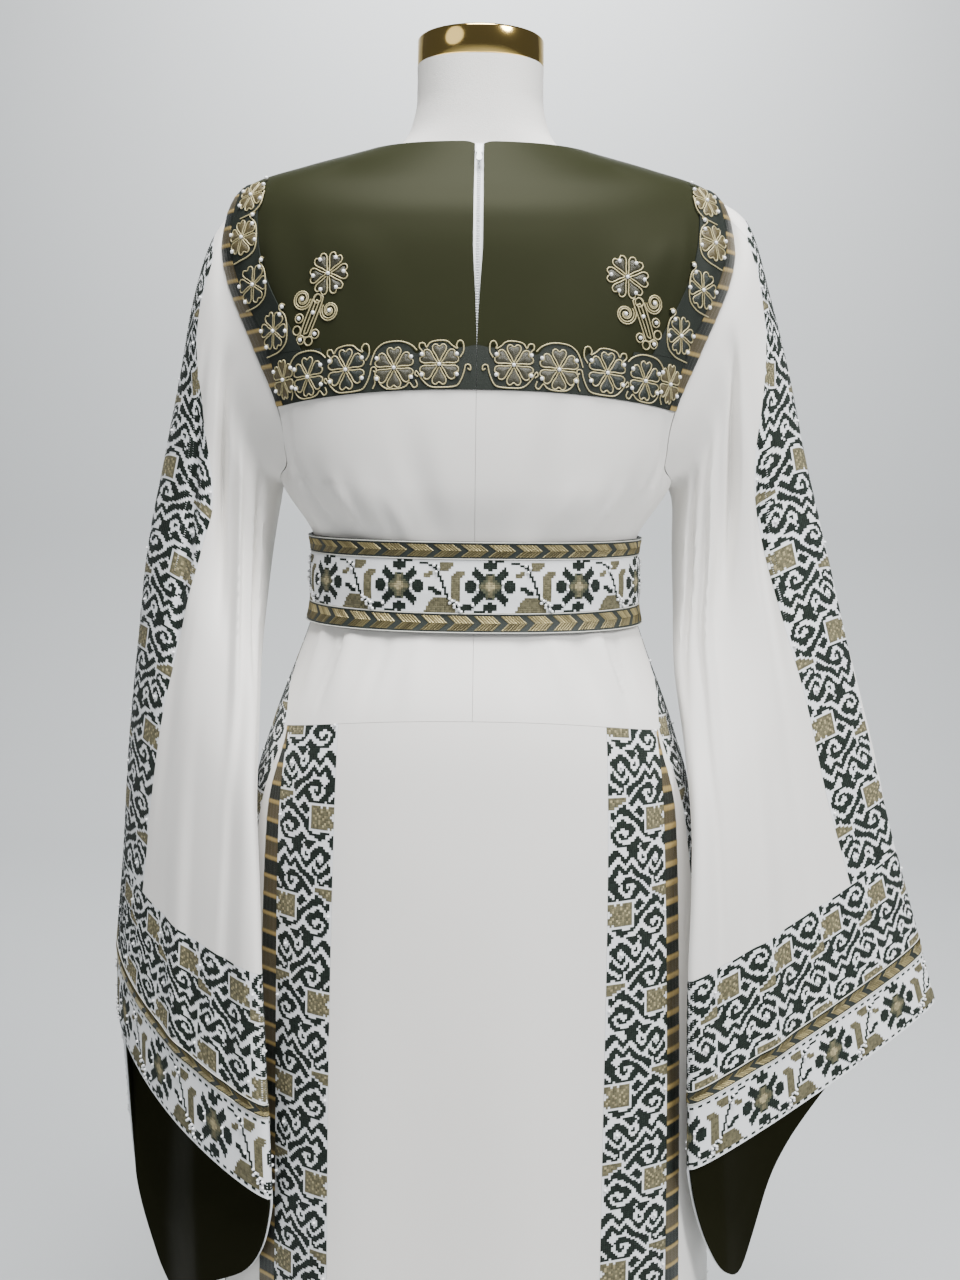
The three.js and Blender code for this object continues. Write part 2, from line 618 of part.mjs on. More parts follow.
// The belt is one closed band with a ribbon along each edge, round the waist over the gathers.
function belt(group) {
  const share = BELT_RIBBON / (BODY[BELT_TOP].zBack - BODY[BELT_LOW].zBack);
  const span = BELT_TOP - BELT_LOW;
  const [low, high] = [BELT_LOW + share * span, BELT_TOP - share * span];
  const ring = (name, material, from, to, parts) => {
    const gap = SEAM_GAP / 2 / heightOf(WAIST);
    const surface = (p, q) => {
      const level = mix(from + gap, to - gap, q);
      return bodyPoint((p - 0.5) * 2 * halfRound(level) * 0.999999, level);
    };
    const options = { columns: 32, rows: steps(parts), closed: true };
    group.add(wall(name, material, surface, { ...options, lift: BELT_GAP + BELT_WALL, thick: BELT_WALL }));
  };
  ring("belt_ribbon_lower", CHEVRONS, BELT_LOW, low, 1);
  ring("belt_band", BAND, low, high, 2);
  ring("belt_ribbon_upper", CHEVRONS, high, BELT_TOP, 1);
}

// ---- Panels on a sleeve ----
const SLEEVE_LEVELS = [0, 0.25, 0.55, 0.9, 1.4, 2, 2.7, 3.4, 4.2, 5, 5.8, 6.5, 7.2, 8];
const ROUND = { band: 3, rear: 8, front: 10 }; // columns of the band, the back panel and the front one
const UNDERARM_ANGLE = 180;
const LEAST_RISE = 1.5;

// angleAt(p, level) gives the panel's angle round the sleeve across its width, at a ring number. Only the
// outermost rows and columns step back from the seams, so that neighbours keep the same points between.
function sleevePanel(name, material, side, angleAt, levels, columns, options = {}) {
  const [low, next] = levels;
  const [before, high] = levels.slice(-2);
  const seam = options.seam ?? SLEEVE_GAP;
  const start = options.start ?? seam / 2;
  const surface = (p, q) => {
    const nominal = low + q * (high - low);
    const angle = options.closed ? angleAt(p, nominal) : insetAngle(side, angleAt, columns, seam, p, nominal);
    const first = start / sleeveRise(side, angle, low);
    const last = seam / 2 / sleeveRise(side, angle, high);
    const back = first * clamp((next - nominal) / (next - low), 0, 1);
    const ahead = last * clamp((nominal - before) / (high - before), 0, 1);
    return sleevePoint(side, angle, nominal + back - ahead);
  };
  const rows = levels.map((level) => (level - low) / (high - low));
  const facing = side === "right" ? 1 : -1;
  return wall(name, material, surface, { columns, rows, facing, ...options });
}

function insetAngle(side, angleAt, columns, seam, p, level) {
  const angle = angleAt(p, level);
  const first = clamp(1 - p * columns, 0, 1);
  const last = clamp(1 - (1 - p) * columns, 0, 1);
  const across = sleevePoint(side, angle + first - last, level).distanceTo(sleevePoint(side, angle, level));
  return across > 0 ? angle + ((first - last) * (seam / 2)) / (across / Math.abs(first - last)) : angle;
}

// Millimetres of cloth to one ring number, square to the ring's own line.
function sleeveRise(side, angle, level) {
  const [above, below] = [clamp(level - 0.05, 0, SLEEVE_HEM - 0.1), clamp(level + 0.05, 0.1, SLEEVE_HEM)];
  const down = sleevePoint(side, angle, below).sub(sleevePoint(side, angle, above));
  const round = sleevePoint(side, angle + 1, level).sub(sleevePoint(side, angle - 1, level)).normalize();
  return Math.max(down.cross(round).length() / (below - above), LEAST_RISE);
}

function sleeve(group, side) {
  const edges = new Map();
  const edge = (end, level) => {
    const key = level.toFixed(4);
    if (!edges.has(key)) edges.set(key, bandEdges(side, level));
    return edges.get(key)[end];
  };
  const span = (from, to) => (p, level) => mix(from(level), to(level), p);
  const front = (level) => edge("front", level);
  const rear = (level) => edge("rear", level);
  const underarm = () => UNDERARM_ANGLE;
  const start = { start: ARMHOLE_GAP };
  const cap = { start: ARMHOLE_GAP, seam: CAP_GAP };
  const back = span(rear, underarm);
  const fore = span(underarm, (level) => 360 + front(level));
  group.add(sleevePanel(`sleeve_back_${side}`, WHITE, side, back, SLEEVE_LEVELS, ROUND.rear, start));
  group.add(sleevePanel(`sleeve_front_${side}`, WHITE, side, fore, SLEEVE_LEVELS, ROUND.front, start));
  const across = span(front, rear);
  const [capLevels, bandLevels] = [[0, 0.25, 0.55, BAND_START], SLEEVE_LEVELS.filter((v) => v >= BAND_START)];
  group.add(sleevePanel(`sleeve_cap_${side}`, WHITE, side, across, capLevels, ROUND.band, cap));
  group.add(sleevePanel(`sleeve_band_${side}`, BAND, side, across, bandLevels, ROUND.band));
  cuff(group, side, edge);
}

// Three closed rings round the sleeve's end, and the lining that shows inside them. Their columns are those
// of the band and the two panels above.
function cuff(group, side, edge) {
  const columns = ROUND.band + ROUND.rear + ROUND.front;
  const angleAt = (p, level) => {
    const i = THREE.MathUtils.euclideanModulo(p, 1) * columns;
    const [front, rear] = ["front", "rear"].map((end) => edge(end, Math.min(level, CUFF_ROW)));
    if (i <= ROUND.band) return mix(front, rear, i / ROUND.band);
    if (i <= ROUND.band + ROUND.rear) return mix(rear, UNDERARM_ANGLE, (i - ROUND.band) / ROUND.rear);
    return mix(UNDERARM_ANGLE, 360 + front, (i - ROUND.band - ROUND.rear) / ROUND.front);
  };
  const rings = [
    [`cuff_band_${side}`, BAND, [CUFF_ROW, CUFF_ROW + 0.5, RIBBON_TOP], {}],
    [`cuff_ribbon_${side}`, CHEVRONS, [RIBBON_TOP, RIBBON_LOW], {}],
    [`cuff_hem_${side}`, BAND, [RIBBON_LOW, RIBBON_LOW + 0.5, SLEEVE_HEM], {}],
    [
      `sleeve_lining_${side}`, SATIN, [LINING_TOP, CUFF_ROW, CUFF_ROW + 0.5, RIBBON_TOP, RIBBON_LOW, SLEEVE_HEM],
      { lift: -CLOTH - LINING_GAP, thick: LINING },
    ],
  ];
  for (const [name, material, levels, options] of rings) {
    const settings = { closed: true, seam: CUFF_GAP, ...options };
    group.add(sleevePanel(name, material, side, angleAt, levels, columns, settings));
  }
}

// ---- Zip ----
// The slider lies on the zip, which leans with the upper back, and the tab lies along it.
function zip(group) {
  const half = () => ZIP_TAPE / 2;
  const levels = YOKE_LEVELS.filter((v) => v < NECKLINE);
  const behind = { lift: -CLOTH - TRIM_GAP, thick: TRIM };
  group.add(bodyPanel("zip_tape", TAPE, () => -half(), half, levels, 2, behind));
  const neckline = BODY[NECKLINE].zBack;
  const level = NECKLINE - (neckline - SLIDER.z) / (neckline - BODY[NECKLINE - 1].zBack);
  const [below, seat, above] = [level - 0.1, level, level + 0.1].map((v) => bodyPoint(0, v));
  const lean = Math.atan2(above.y - below.y, above.z - below.z);
  const outward = new THREE.Vector3(0, -Math.cos(lean), Math.sin(lean));
  const upward = new THREE.Vector3(0, Math.sin(lean), Math.cos(lean));
  const place = (name, geometry, out, up) => {
    const mesh = new THREE.Mesh(geometry, TAPE);
    mesh.name = name;
    mesh.rotation.x = -lean;
    mesh.position.copy(seat).addScaledVector(outward, out).addScaledVector(upward, up);
    group.add(mesh);
  };
  const block = new THREE.BoxGeometry(SLIDER.width, SLIDER.depth, SLIDER.height);
  place("zip_slider", block, SLIDER.off + SLIDER.depth / 2, 0);
  const pinOut = SLIDER.off + SLIDER.depth + PULL.clear + PULL.thickness / 2;
  place("zip_pull", tabGeometry(), pinOut, SLIDER.pinUp - SLIDER.height / 2);
}

// The tab is a drop-shaped plate hanging from its pin, narrow at the top and round below.
function tabGeometry() {
  const radius = PULL.width / 2;
  const neck = radius * PULL.neck;
  const outline = new THREE.Shape();
  outline.moveTo(-neck, PULL.overPin);
  outline.lineTo(-radius, -PULL.length + radius);
  outline.absarc(0, -PULL.length + radius, radius, Math.PI, 2 * Math.PI, false);
  outline.lineTo(neck, PULL.overPin);
  outline.closePath();
  const plate = { depth: PULL.thickness, bevelEnabled: false, curveSegments: 8 };
  const geometry = new THREE.ExtrudeGeometry(outline, plate);
  geometry.rotateX(Math.PI / 2);
  geometry.translate(0, PULL.thickness / 2, 0);
  return geometry;
}

// ---- Dress form ----
function dressForm(group) {
  const columns = 24;
  const last = FORM.length - 1;
  const points = [];
  for (const row of FORM) {
    for (let i = 0; i < columns; i += 1) points.push(ringPoint(row, (i * 360) / columns));
  }
  points.push(new THREE.Vector3(0, 0, FORM[0].zBack), new THREE.Vector3(0, 0, FORM[last].zBack));
  const [floor, crown] = [points.length - 2, points.length - 1];
  const at = (j, i) => j * columns + (i % columns);
  const faces = [];
  for (let i = 0; i < columns; i += 1) {
    for (let j = 0; j < last; j += 1) {
      faces.push(at(j, i), at(j, i + 1), at(j + 1, i + 1), at(j, i), at(j + 1, i + 1), at(j + 1, i));
    }
    faces.push(floor, at(0, i + 1), at(0, i), crown, at(last, i), at(last, i + 1));
  }
  group.add(solid("form_torso", LINEN, points, faces));
  const neck = FORM[last].zBack + SEAM_GAP;
  group.add(turned("form_cap", GOLD, CAP_RADIUS, neck, CAP_TOP, 24, CAP_BEVEL));
  const foot = BASE_HEIGHT + SEAM_GAP;
  group.add(turned("stand_pole", METAL, POLE_RADIUS, foot, FORM[0].zBack - SEAM_GAP, 20, 0));
  group.add(turned("stand_base", METAL, BASE_RADIUS, 0, BASE_HEIGHT, 36, 3));
}

// A turned piece about the vertical axis, its upper edge bevelled.
function turned(name, material, radius, low, high, segments, bevel) {
  const profile = [[0, low], [radius, low], [radius, high - bevel], [radius - bevel, high], [0, high]];
  const outline = profile.map(([x, y]) => new THREE.Vector2(x, y));
  if (bevel === 0) outline.splice(3, 1);
  const geometry = new THREE.LatheGeometry(outline, segments);
  geometry.rotateX(Math.PI / 2);
  const mesh = new THREE.Mesh(geometry, material);
  mesh.name = name;
  return mesh;
}

// ---- The whole ----
function buildThobe() {
  const group = new THREE.Group();
  bodice(group);
  skirt(group);
  belt(group);
  for (const side of ["right", "left"]) {
    sleeve(group, side);
  }
  zip(group);
  dressForm(group);
  return group;
}

export default buildThobe();
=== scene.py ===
"""The looks of an embroidered thobe on a limbless dress form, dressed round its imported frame.

+X is the wearer's right, the garment's back faces -Y, +Z is up, and the floor is z = 0. Lengths are in
millimetres until a mesh is made, and MM turns them into metres.
"""

import math

import bpy
import numpy as np
from mathutils import Matrix, Vector


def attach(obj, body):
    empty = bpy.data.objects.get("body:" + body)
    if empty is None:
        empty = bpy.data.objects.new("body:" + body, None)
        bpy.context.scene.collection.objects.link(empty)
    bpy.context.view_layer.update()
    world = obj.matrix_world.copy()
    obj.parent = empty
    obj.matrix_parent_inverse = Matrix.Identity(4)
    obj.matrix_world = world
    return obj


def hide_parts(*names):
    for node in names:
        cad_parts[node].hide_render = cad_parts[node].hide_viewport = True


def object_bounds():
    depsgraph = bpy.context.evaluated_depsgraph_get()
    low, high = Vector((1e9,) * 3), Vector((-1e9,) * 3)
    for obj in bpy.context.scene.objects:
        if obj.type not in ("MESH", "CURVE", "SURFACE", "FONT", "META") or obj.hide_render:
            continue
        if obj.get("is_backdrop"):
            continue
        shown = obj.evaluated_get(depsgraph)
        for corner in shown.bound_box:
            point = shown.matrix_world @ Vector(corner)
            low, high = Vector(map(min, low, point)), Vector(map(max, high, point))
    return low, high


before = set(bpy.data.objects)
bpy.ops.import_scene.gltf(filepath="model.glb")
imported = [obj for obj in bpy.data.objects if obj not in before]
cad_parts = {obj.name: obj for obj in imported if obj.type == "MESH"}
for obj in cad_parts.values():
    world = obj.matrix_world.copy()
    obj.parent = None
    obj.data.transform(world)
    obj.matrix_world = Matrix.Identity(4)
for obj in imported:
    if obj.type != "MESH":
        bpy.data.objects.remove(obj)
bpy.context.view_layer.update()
MM = 0.001

# ---- Camera ----
# It stands behind the garment, 1.3 m from its axis and a little under shoulder height, tipped down.
CAMERA_PLACE = (0.0056, -1.300, 1.1476)
CAMERA_PITCH = 7.33
CAMERA_ROLL = 0.7
CAMERA_LENS = 39.375

camera = bpy.data.objects.new("camera", bpy.data.cameras.new("camera"))
camera.data.lens = CAMERA_LENS
camera.data.clip_end = 50
tip = Matrix.Rotation(math.radians(90 - CAMERA_PITCH), 4, "X")
camera.matrix_world = Matrix.Translation(CAMERA_PLACE) @ tip @ Matrix.Rotation(math.radians(CAMERA_ROLL), 4, "Z")
bpy.context.collection.objects.link(camera)
bpy.context.scene.camera = camera

# ---- Studio ----
# A pale floor runs up into a pale wall. Soft lights overhead and at the upper right do most of the work,
# with a weak fill at the left and a light of its own for the wall.
WALL_COLOUR = (0.54, 0.56, 0.57)
WALL_PLACE, WALL_BEND = 3600, 900
LIGHTS = {
    "key": dict(place=(2.1, -1.9, 2.8), aim=(0, 0, 1.0), size=1.0, power=112),
    "fill": dict(place=(-2.4, -2.2, 1.8), aim=(0, 0, 0.8), size=2.0, power=15),
    "top": dict(place=(0.0, -0.9, 3.6), aim=(0, 0, 1.1), size=1.4, power=205),
    "rear": dict(place=(0.1, 2.2, 3.6), aim=(0, 3.6, 2.2), size=1.2, power=120),
}


def surface(name, colour, roughness):
    """A plain surface and its shader, to which a finish adds its own nodes."""
    material = bpy.data.materials.new(name)
    material.use_nodes = True
    shader = material.node_tree.nodes["Principled BSDF"]
    shader.inputs["Base Color"].default_value = (*colour, 1)
    shader.inputs["Roughness"].default_value = roughness
    return material, shader


def make_mesh(name, points, faces, material, sharp=180):
    """A smooth mesh from arrays: points in millimetres, and faces that all have as many corners."""
    mesh = bpy.data.meshes.new(name)
    points = np.asarray(points, float).reshape(-1, 3)
    faces = np.asarray(faces, int)
    mesh.vertices.add(len(points))
    mesh.vertices.foreach_set("co", (points * MM).ravel())
    mesh.loops.add(faces.size)
    mesh.loops.foreach_set("vertex_index", faces.ravel())
    mesh.polygons.add(len(faces))
    mesh.polygons.foreach_set("loop_start", np.arange(len(faces)) * faces.shape[1])
    mesh.polygons.foreach_set("use_smooth", np.ones(len(faces), bool))
    mesh.update(calc_edges=True)
    if sharp < 180:
        mesh.set_sharp_from_angle(angle=math.radians(sharp))
    mesh.materials.append(material)
    piece = bpy.data.objects.new(name, mesh)
    bpy.context.collection.objects.link(piece)
    return piece


def backdrop_section():
    """The sweep's profile: floor, a wide bend, and the wall."""
    start, radius = WALL_PLACE - WALL_BEND, WALL_BEND
    bend = [(start + radius * math.sin(a), radius * (1 - math.cos(a))) for a in np.linspace(0, math.pi / 2, 17)]
    return [(-5000, 0), *bend, (WALL_PLACE, 4800)]


sweep = np.array([[(x, y, z) for x in (-4500, 4500)] for y, z in backdrop_section()], float)
wall_quads = [[2 * i, 2 * i + 1, 2 * i + 3, 2 * i + 2] for i in range(len(sweep) - 1)]
wall_paint, _ = surface("studio_paint", WALL_COLOUR, 0.9)
make_mesh("studio", sweep, wall_quads, wall_paint)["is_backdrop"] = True

for name, lamp in LIGHTS.items():
    light = bpy.data.lights.new(name, "AREA")
    light.shape = "DISK"
    light.size = lamp["size"]
    light.energy = lamp["power"]
    lamp_object = bpy.data.objects.new(name, light)
    away = Vector(lamp["place"]) - Vector(lamp["aim"])
    lamp_object.matrix_world = Matrix.Translation(lamp["place"]) @ away.to_track_quat("Z", "Y").to_matrix().to_4x4()
    bpy.context.collection.objects.link(lamp_object)

sky = bpy.data.worlds.new("studio_air")
sky.use_nodes = True
sky.node_tree.nodes["Background"].inputs["Color"].default_value = (0.93, 0.96, 1, 1)
sky.node_tree.nodes["Background"].inputs["Strength"].default_value = 0.10
bpy.context.scene.world = sky

# ---- Bodice ----
# The bodice is warm white crepe: two back panels sewn at the centre, and a front in one piece. It hangs
# from the yoke in soft folds and blouses a little over the belt. Every cloth piece is a thin closed wall.
CLOTH = 1.8
SQUARENESS = 2.35
SEAM_GAP = 0.3

# Rings round the body: rear, side and front height, half width, rear and front depth.
BODY = np.array([
    [22, 22, 22, 262, 203, 198],  # 0 hem
    [330, 330, 330, 237, 184, 177],  # 1 knee
    [650, 650, 650, 221, 171, 159],  # 2 thigh
    [830, 826, 830, 206, 160, 148],  # 3 hip
    [930, 907, 930, 185, 146, 128],  # 4 basque seam
    [1001, 1001, 1001, 150.5, 115, 107],  # 5 belt's lower edge
    [1040, 1040, 1040, 148, 113, 105],  # 6 waist
    [1079, 1079, 1079, 148.5, 114, 106],  # 7 belt's upper edge
    [1125, 1125, 1125, 177, 127, 116],  # 8 underarm
    [1205, 1186, 1205, 196, 131, 123],  # 9 yoke hem
    [1300, 1300, 1272, 229, 121, 109],  # 10 chest
    [1345, 1350, 1306, 227, 111, 100],  # 11 upper back
    [1371, 1384, 1327, 208, 99, 94],  # 12 shoulder point
    [1395, 1401, 1339, 160, 84, 89],  # 13 middle of the shoulder
    [1416, 1414, 1348, 107, 69, 85],  # 14 neckline
], float)
BASQUE, BELT_LOW, WAIST, BELT_TOP, UNDERARM, YOKE_HEM, SHOULDER, NECKLINE = 4, 5, 6, 7, 8, 9, 12, 14

# Half of the armhole's opening in degrees round from the side, at a height in ring numbers.
ARMHOLE = np.array([
    [8, 0], [8.12, 15], [8.3, 23], [8.6, 29], [9, 31], [9.5, 26], [10, 19], [11, 12], [11.6, 8], [12, 0],
])

# Folds: angle round from the centre back, spread, first and last ring, depth, and how far the fold leans.
BODY_FOLDS = np.array([
    [41, 7, 4, 5.3, 3.2, 0],
    [52, 5, 4.1, 5.3, -2.6, 0],
    [-40, 7, 4, 5.3, 3.2, 0],
    [-50, 5, 4.1, 5.3, -2.6, 0],
    [-58, 5, 4.2, 5.3, 2.6, 0],
    [30, 8, 6.7, 8.4, 3, 0],
    [48, 8, 6.7, 8.6, -3, 0],
    [62, 7, 6.7, 8.2, 3, 0],
    [-28, 8, 6.7, 8.4, 3, 0],
    [-45, 8, 6.7, 8.6, -3, 0],
    [-60, 7, 6.7, 8.2, 3, 0],
    [70, 16, -1.5, 1.8, -7, 0],
    [98, 18, -1.5, 1.8, 6, 0],
    [-70, 16, -1.5, 1.8, -7, 0],
    [-98, 18, -1.5, 1.8, 6, 0],
    [128, 18, -1.5, 3.2, -8, 0],
    [154, 18, -1.5, 3.4, 8, 0],
    [-128, 18, -1.5, 3.2, -8, 0],
    [-154, 18, -1.5, 3.4, 8, 0],
])
FINE_FOLDS = np.array([
    [12, 5, 3.9, 5.2, -0.9, 2],  # under the belt
    [23, 4, 4.0, 5.2, 1.2, -3],
    [33, 5, 4.0, 5.2, -1.3, -4],
    [46.5, 2, 4.0, 5.2, -1.8, 0],
    [-14, 5, 3.9, 5.2, 1.1, 3],
    [-26, 4, 4.0, 5.2, -1.2, 4],
    [-45.5, 2, 4.0, 5.2, -1.9, 0],
    [14, 7, 6.8, 9.2, -1.6, 5],  # blousing over the belt
    [22, 5, 6.8, 8.3, 1.3, 5],
    [39, 4, 6.8, 8.2, 1.4, 8],
    [55, 4, 6.8, 8.8, -1.8, 12],
    [-12, 7, 6.8, 9.0, -1.5, -5],
    [-20, 4, 6.8, 8.1, 1.2, -4],
    [-37, 5, 6.8, 8.4, 1.6, -9],
    [-53, 4, 6.8, 8.7, -1.8, -11],
    [66, 6, 7.6, 9.4, -2.4, -8],  # drag lines from the underarm
    [58, 4, 7.9, 9.3, -1.4, -10],
    [-66, 6, 7.6, 9.4, -2.4, 8],
    [-57, 4, 7.9, 9.3, -1.4, 10],
    [118, 7, 6.8, 8.9, -2.2, -4],  # the front likewise
    [132, 6, 6.8, 8.4, 2, -3],
    [147, 6, 6.8, 8.8, -1.8, 0],
    [163, 5, 6.8, 8.2, 1.5, 0],
    [-115, 7, 6.8, 8.8, -2.2, 4],
    [-130, 6, 6.8, 8.5, 2, 3],
    [-150, 6, 6.8, 8.6, -1.8, 0],
    [-169, 5, 6.8, 8.3, 1.5, 0],
    [112, 5, 4, 5.2, 1.8, 0],
    [126, 5, 3.9, 5.2, -1.6, 0],
    [141, 5, 4, 5.2, 1.5, 0],
    [160, 6, 3.8, 5.2, -1.3, 0],
    [-114, 5, 4, 5.2, 1.7, 0],
    [-129, 5, 3.9, 5.2, -1.6, 0],
    [-146, 5, 4, 5.2, 1.4, 0],
    [-165, 6, 3.8, 5.2, -1.2, 0],
    [9, 13, -1, 3.3, 1.6, 1],  # slow flutes of the skirt
    [27, 12, -1, 2.9, -1.8, 2],
    [-8, 12, -1, 3.1, -1.3, -2],
    [-27, 13, -1, 3.5, 1.7, -2],
    [47, 12, -1, 3.1, 1.8, 3],
    [-48, 12, -1, 3.3, -2, -3],
    [112, 11, -1, 3.0, -3, 2],
    [141, 11, -1, 3.1, -2.6, 2],
    [169, 11, -1, 3.2, -2.8, 0],
    [-113, 11, -1, 2.8, -3, -2],
    [-141, 11, -1, 3.2, -2.6, -2],
    [18, 9, 9.2, 11.2, -0.8, 10],  # the yoke over the shoulder blades
    [36, 8, 9.1, 11.4, 0.9, 8],
    [52, 7, 9.1, 11.6, -1.2, 4],
    [-20, 9, 9.2, 11.0, 0.8, -10],
    [-38, 8, 9.1, 11.5, -0.9, -8],
    [-53, 7, 9.1, 11.6, -1.2, -4],
    [140, 9, 9.1, 12.4, -1.6, 8],
    [158, 8, 9.2, 12.8, 1.2, 6],
    [-141, 9, 9.1, 12.3, -1.6, -8],
    [-160, 8, 9.2, 12.7, 1.2, -6],
])
FINE_DEPTH = 2.1
ALL_BODY_FOLDS = np.vstack([BODY_FOLDS, FINE_FOLDS * [1, 1, 1, 1, FINE_DEPTH, 1]])


def between(rows, level):
    """A smooth curve through an array's rows, at a fractional row number."""
    i = int(np.clip(math.floor(level), 0, len(rows) - 2))
    t = level - i
    a, b, c, d = (rows[int(np.clip(k, 0, len(rows) - 1))] for k in (i - 1, i, i + 1, i + 2))
    start, end = (c - a) / 2, (d - b) / 2
    return (2 * b - 2 * c + start + end) * t**3 + (3 * c - 3 * b - 2 * start - end) * t**2 + start * t + b


def curve(rows, at):
    """A smooth curve through a table of two columns, at values of the first."""
    key, value = rows[:, 0], rows[:, 1]
    n = len(key)
    i = np.clip(np.searchsorted(key, at), 1, n - 1)
    after, before = np.minimum(np.arange(n) + 1, n - 1), np.maximum(np.arange(n) - 1, 0)
    slope = (value[after] - value[before]) / (key[after] - key[before])
    span = key[i] - key[i - 1]
    t = np.clip((at - key[i - 1]) / span, 0, 1)
    start, end, rise = slope[i - 1] * span, slope[i] * span, value[i] - value[i - 1]
    return value[i - 1] + start * t + (3 * rise - 2 * start - end) * t**2 + (start + end - 2 * rise) * t**3


def smooth(value, low, high):
    t = np.clip((value - low) / (high - low), 0, 1)
    return t * t * (3 - 2 * t)


def fold_depth(folds, degrees, level):
    """Sum of the soft folds at angles and a ring number."""
    depth = np.zeros(len(degrees))
    for angle, spread, low, high, deep, lean in folds:
        along = (level - low) / (high - low)
        if 0 < along < 1:
            across = np.abs((degrees - angle - lean * (along - 0.5) + 180) % 360 - 180) / spread
            depth += np.where(across < 1, deep * np.cos(across * math.pi / 2) ** 2, 0) * math.sin(along * math.pi) ** 2
    return depth


def oval(row, degrees):
    """Points of one ring: 0 degrees is the centre back, 90 the wearer's right side."""
    z_back, z_side, z_front, half_width, back, front = row
    turn = np.radians(degrees)
    side, rear = np.sin(turn), np.cos(turn)
    power = 2 / SQUARENESS
    depth = np.where(rear > 0, back, front)
    end = np.where(rear > 0, z_back, z_front)
    return np.stack([
        half_width * np.sign(side) * np.abs(side) ** power,
        -depth * np.sign(rear) * np.abs(rear) ** power,
        z_side + (end - z_side) * rear**2,
    ], -1)


ARC_ANGLES = np.arange(0, 181, 3.0)


def ring_arcs(level):
    """Distances round a ring from the centre back, at ARC_ANGLES."""
    points = oval(between(BODY, level), ARC_ANGLES)
    return np.concatenate([[0], np.cumsum(np.linalg.norm(np.diff(points, axis=0), axis=1))])


def half_round(level):
    return ring_arcs(level)[-1]


def body_row(level, arcs, folds=ALL_BODY_FOLDS):
    """Body points at distances round from the centre back, positive to the wearer's right."""
    arcs = np.asarray(arcs, float)
    lengths = ring_arcs(level)
    past = np.abs(arcs) > lengths[-1]
    angle = np.interp(np.where(past, 2 * lengths[-1] - np.abs(arcs), np.abs(arcs)), lengths, ARC_ANGLES)
    signed = np.sign(arcs) * np.where(past, 360 - angle, angle)
    points = oval(between(BODY, level), signed)
    outward = points * [1, 1, 0]
    outward /= np.linalg.norm(outward, axis=1)[:, None]
    return points + outward * fold_depth(folds, signed, level)[:, None]


def armhole_edge(level, front=False):
    opening = 0.0 if level < UNDERARM or level > SHOULDER else float(curve(ARMHOLE, level))
    return np.interp(90 + opening if front else 90 - opening, ARC_ANGLES, ring_arcs(level))


class Cloth:
    """A piece of cloth as a grid of points, with its normals and its measure across and up."""

    def __init__(self, grid, facing=1, closed=False, seam=SEAM_GAP / 2):
        self.grid, self.facing, self.closed = np.array(grid, float), facing, closed
        if not closed:
            self.tuck(self.grid[:, 0], self.grid[:, 1], seam)
            self.tuck(self.grid[:, -1], self.grid[:, -2], seam)
        self.tuck(self.grid[0], self.grid[1], seam)
        self.tuck(self.grid[-1], self.grid[-2], seam)
        padded = np.hstack([self.grid[:, -1:], self.grid, self.grid[:, :1]]) if closed else self.grid
        normal = np.cross(np.gradient(padded, axis=1), np.gradient(padded, axis=0)) * facing
        normal /= np.maximum(np.linalg.norm(normal, axis=2), 1e-9)[..., None]
        self.normal = normal[:, 1:-1] if closed else normal
        around = np.hstack([self.grid, self.grid[:, :1]]) if closed else self.grid
        self.across = self.run(around[len(around) // 2])
        self.up = self.run(around[:, around.shape[1] // 2])
        self.around = around

    @staticmethod
    def tuck(edge, inner, seam):
        toward = inner - edge
        edge += toward * seam / np.maximum(np.linalg.norm(toward, axis=1), seam)[:, None]

    @staticmethod
    def run(points):
        return np.concatenate([[0], np.cumsum(np.linalg.norm(np.diff(points, axis=0), axis=1))])

    def at(self, across, up, lift=0.0):
        """Points a distance across and up the cloth, lifted off it."""
        across, up = np.broadcast_arrays(np.asarray(across, float), np.asarray(up, float))
        if self.closed:
            across = across % self.across[-1]
        column = np.interp(across, self.across, np.arange(len(self.across)))
        row = np.interp(up, self.up, np.arange(len(self.up)))
        j = np.minimum(column.astype(int), len(self.across) - 2)
        i = np.minimum(row.astype(int), len(self.up) - 2)
        s, t = (column - j)[..., None], (row - i)[..., None]
        k = (j + 1) % self.grid.shape[1]

        def blend(values):
            low = values[i, j] * (1 - s) + values[i, k] * s
            high = values[i + 1, j] * (1 - s) + values[i + 1, k] * s
            return low * (1 - t) + high * t

        return blend(self.grid) + blend(self.normal) * np.asarray(lift)[..., None]

    def cut(self):
        """Width, length and area, in metres, of the flat piece."""
        widths = np.linalg.norm(np.diff(self.around, axis=1), axis=2).sum(1)
        lengths = np.linalg.norm(np.diff(self.around, axis=0), axis=2).sum(0)
        rising, falling = self.around[1:, 1:] - self.around[:-1, :-1], self.around[1:, :-1] - self.around[:-1, 1:]
        area = np.linalg.norm(np.cross(rising, falling), axis=2).sum() / 2
        return widths.max() * MM, lengths.max() * MM, area * MM * MM


def quads(a, b, c, d):
    return np.stack([x.ravel() for x in (a, b, c, d)], -1)


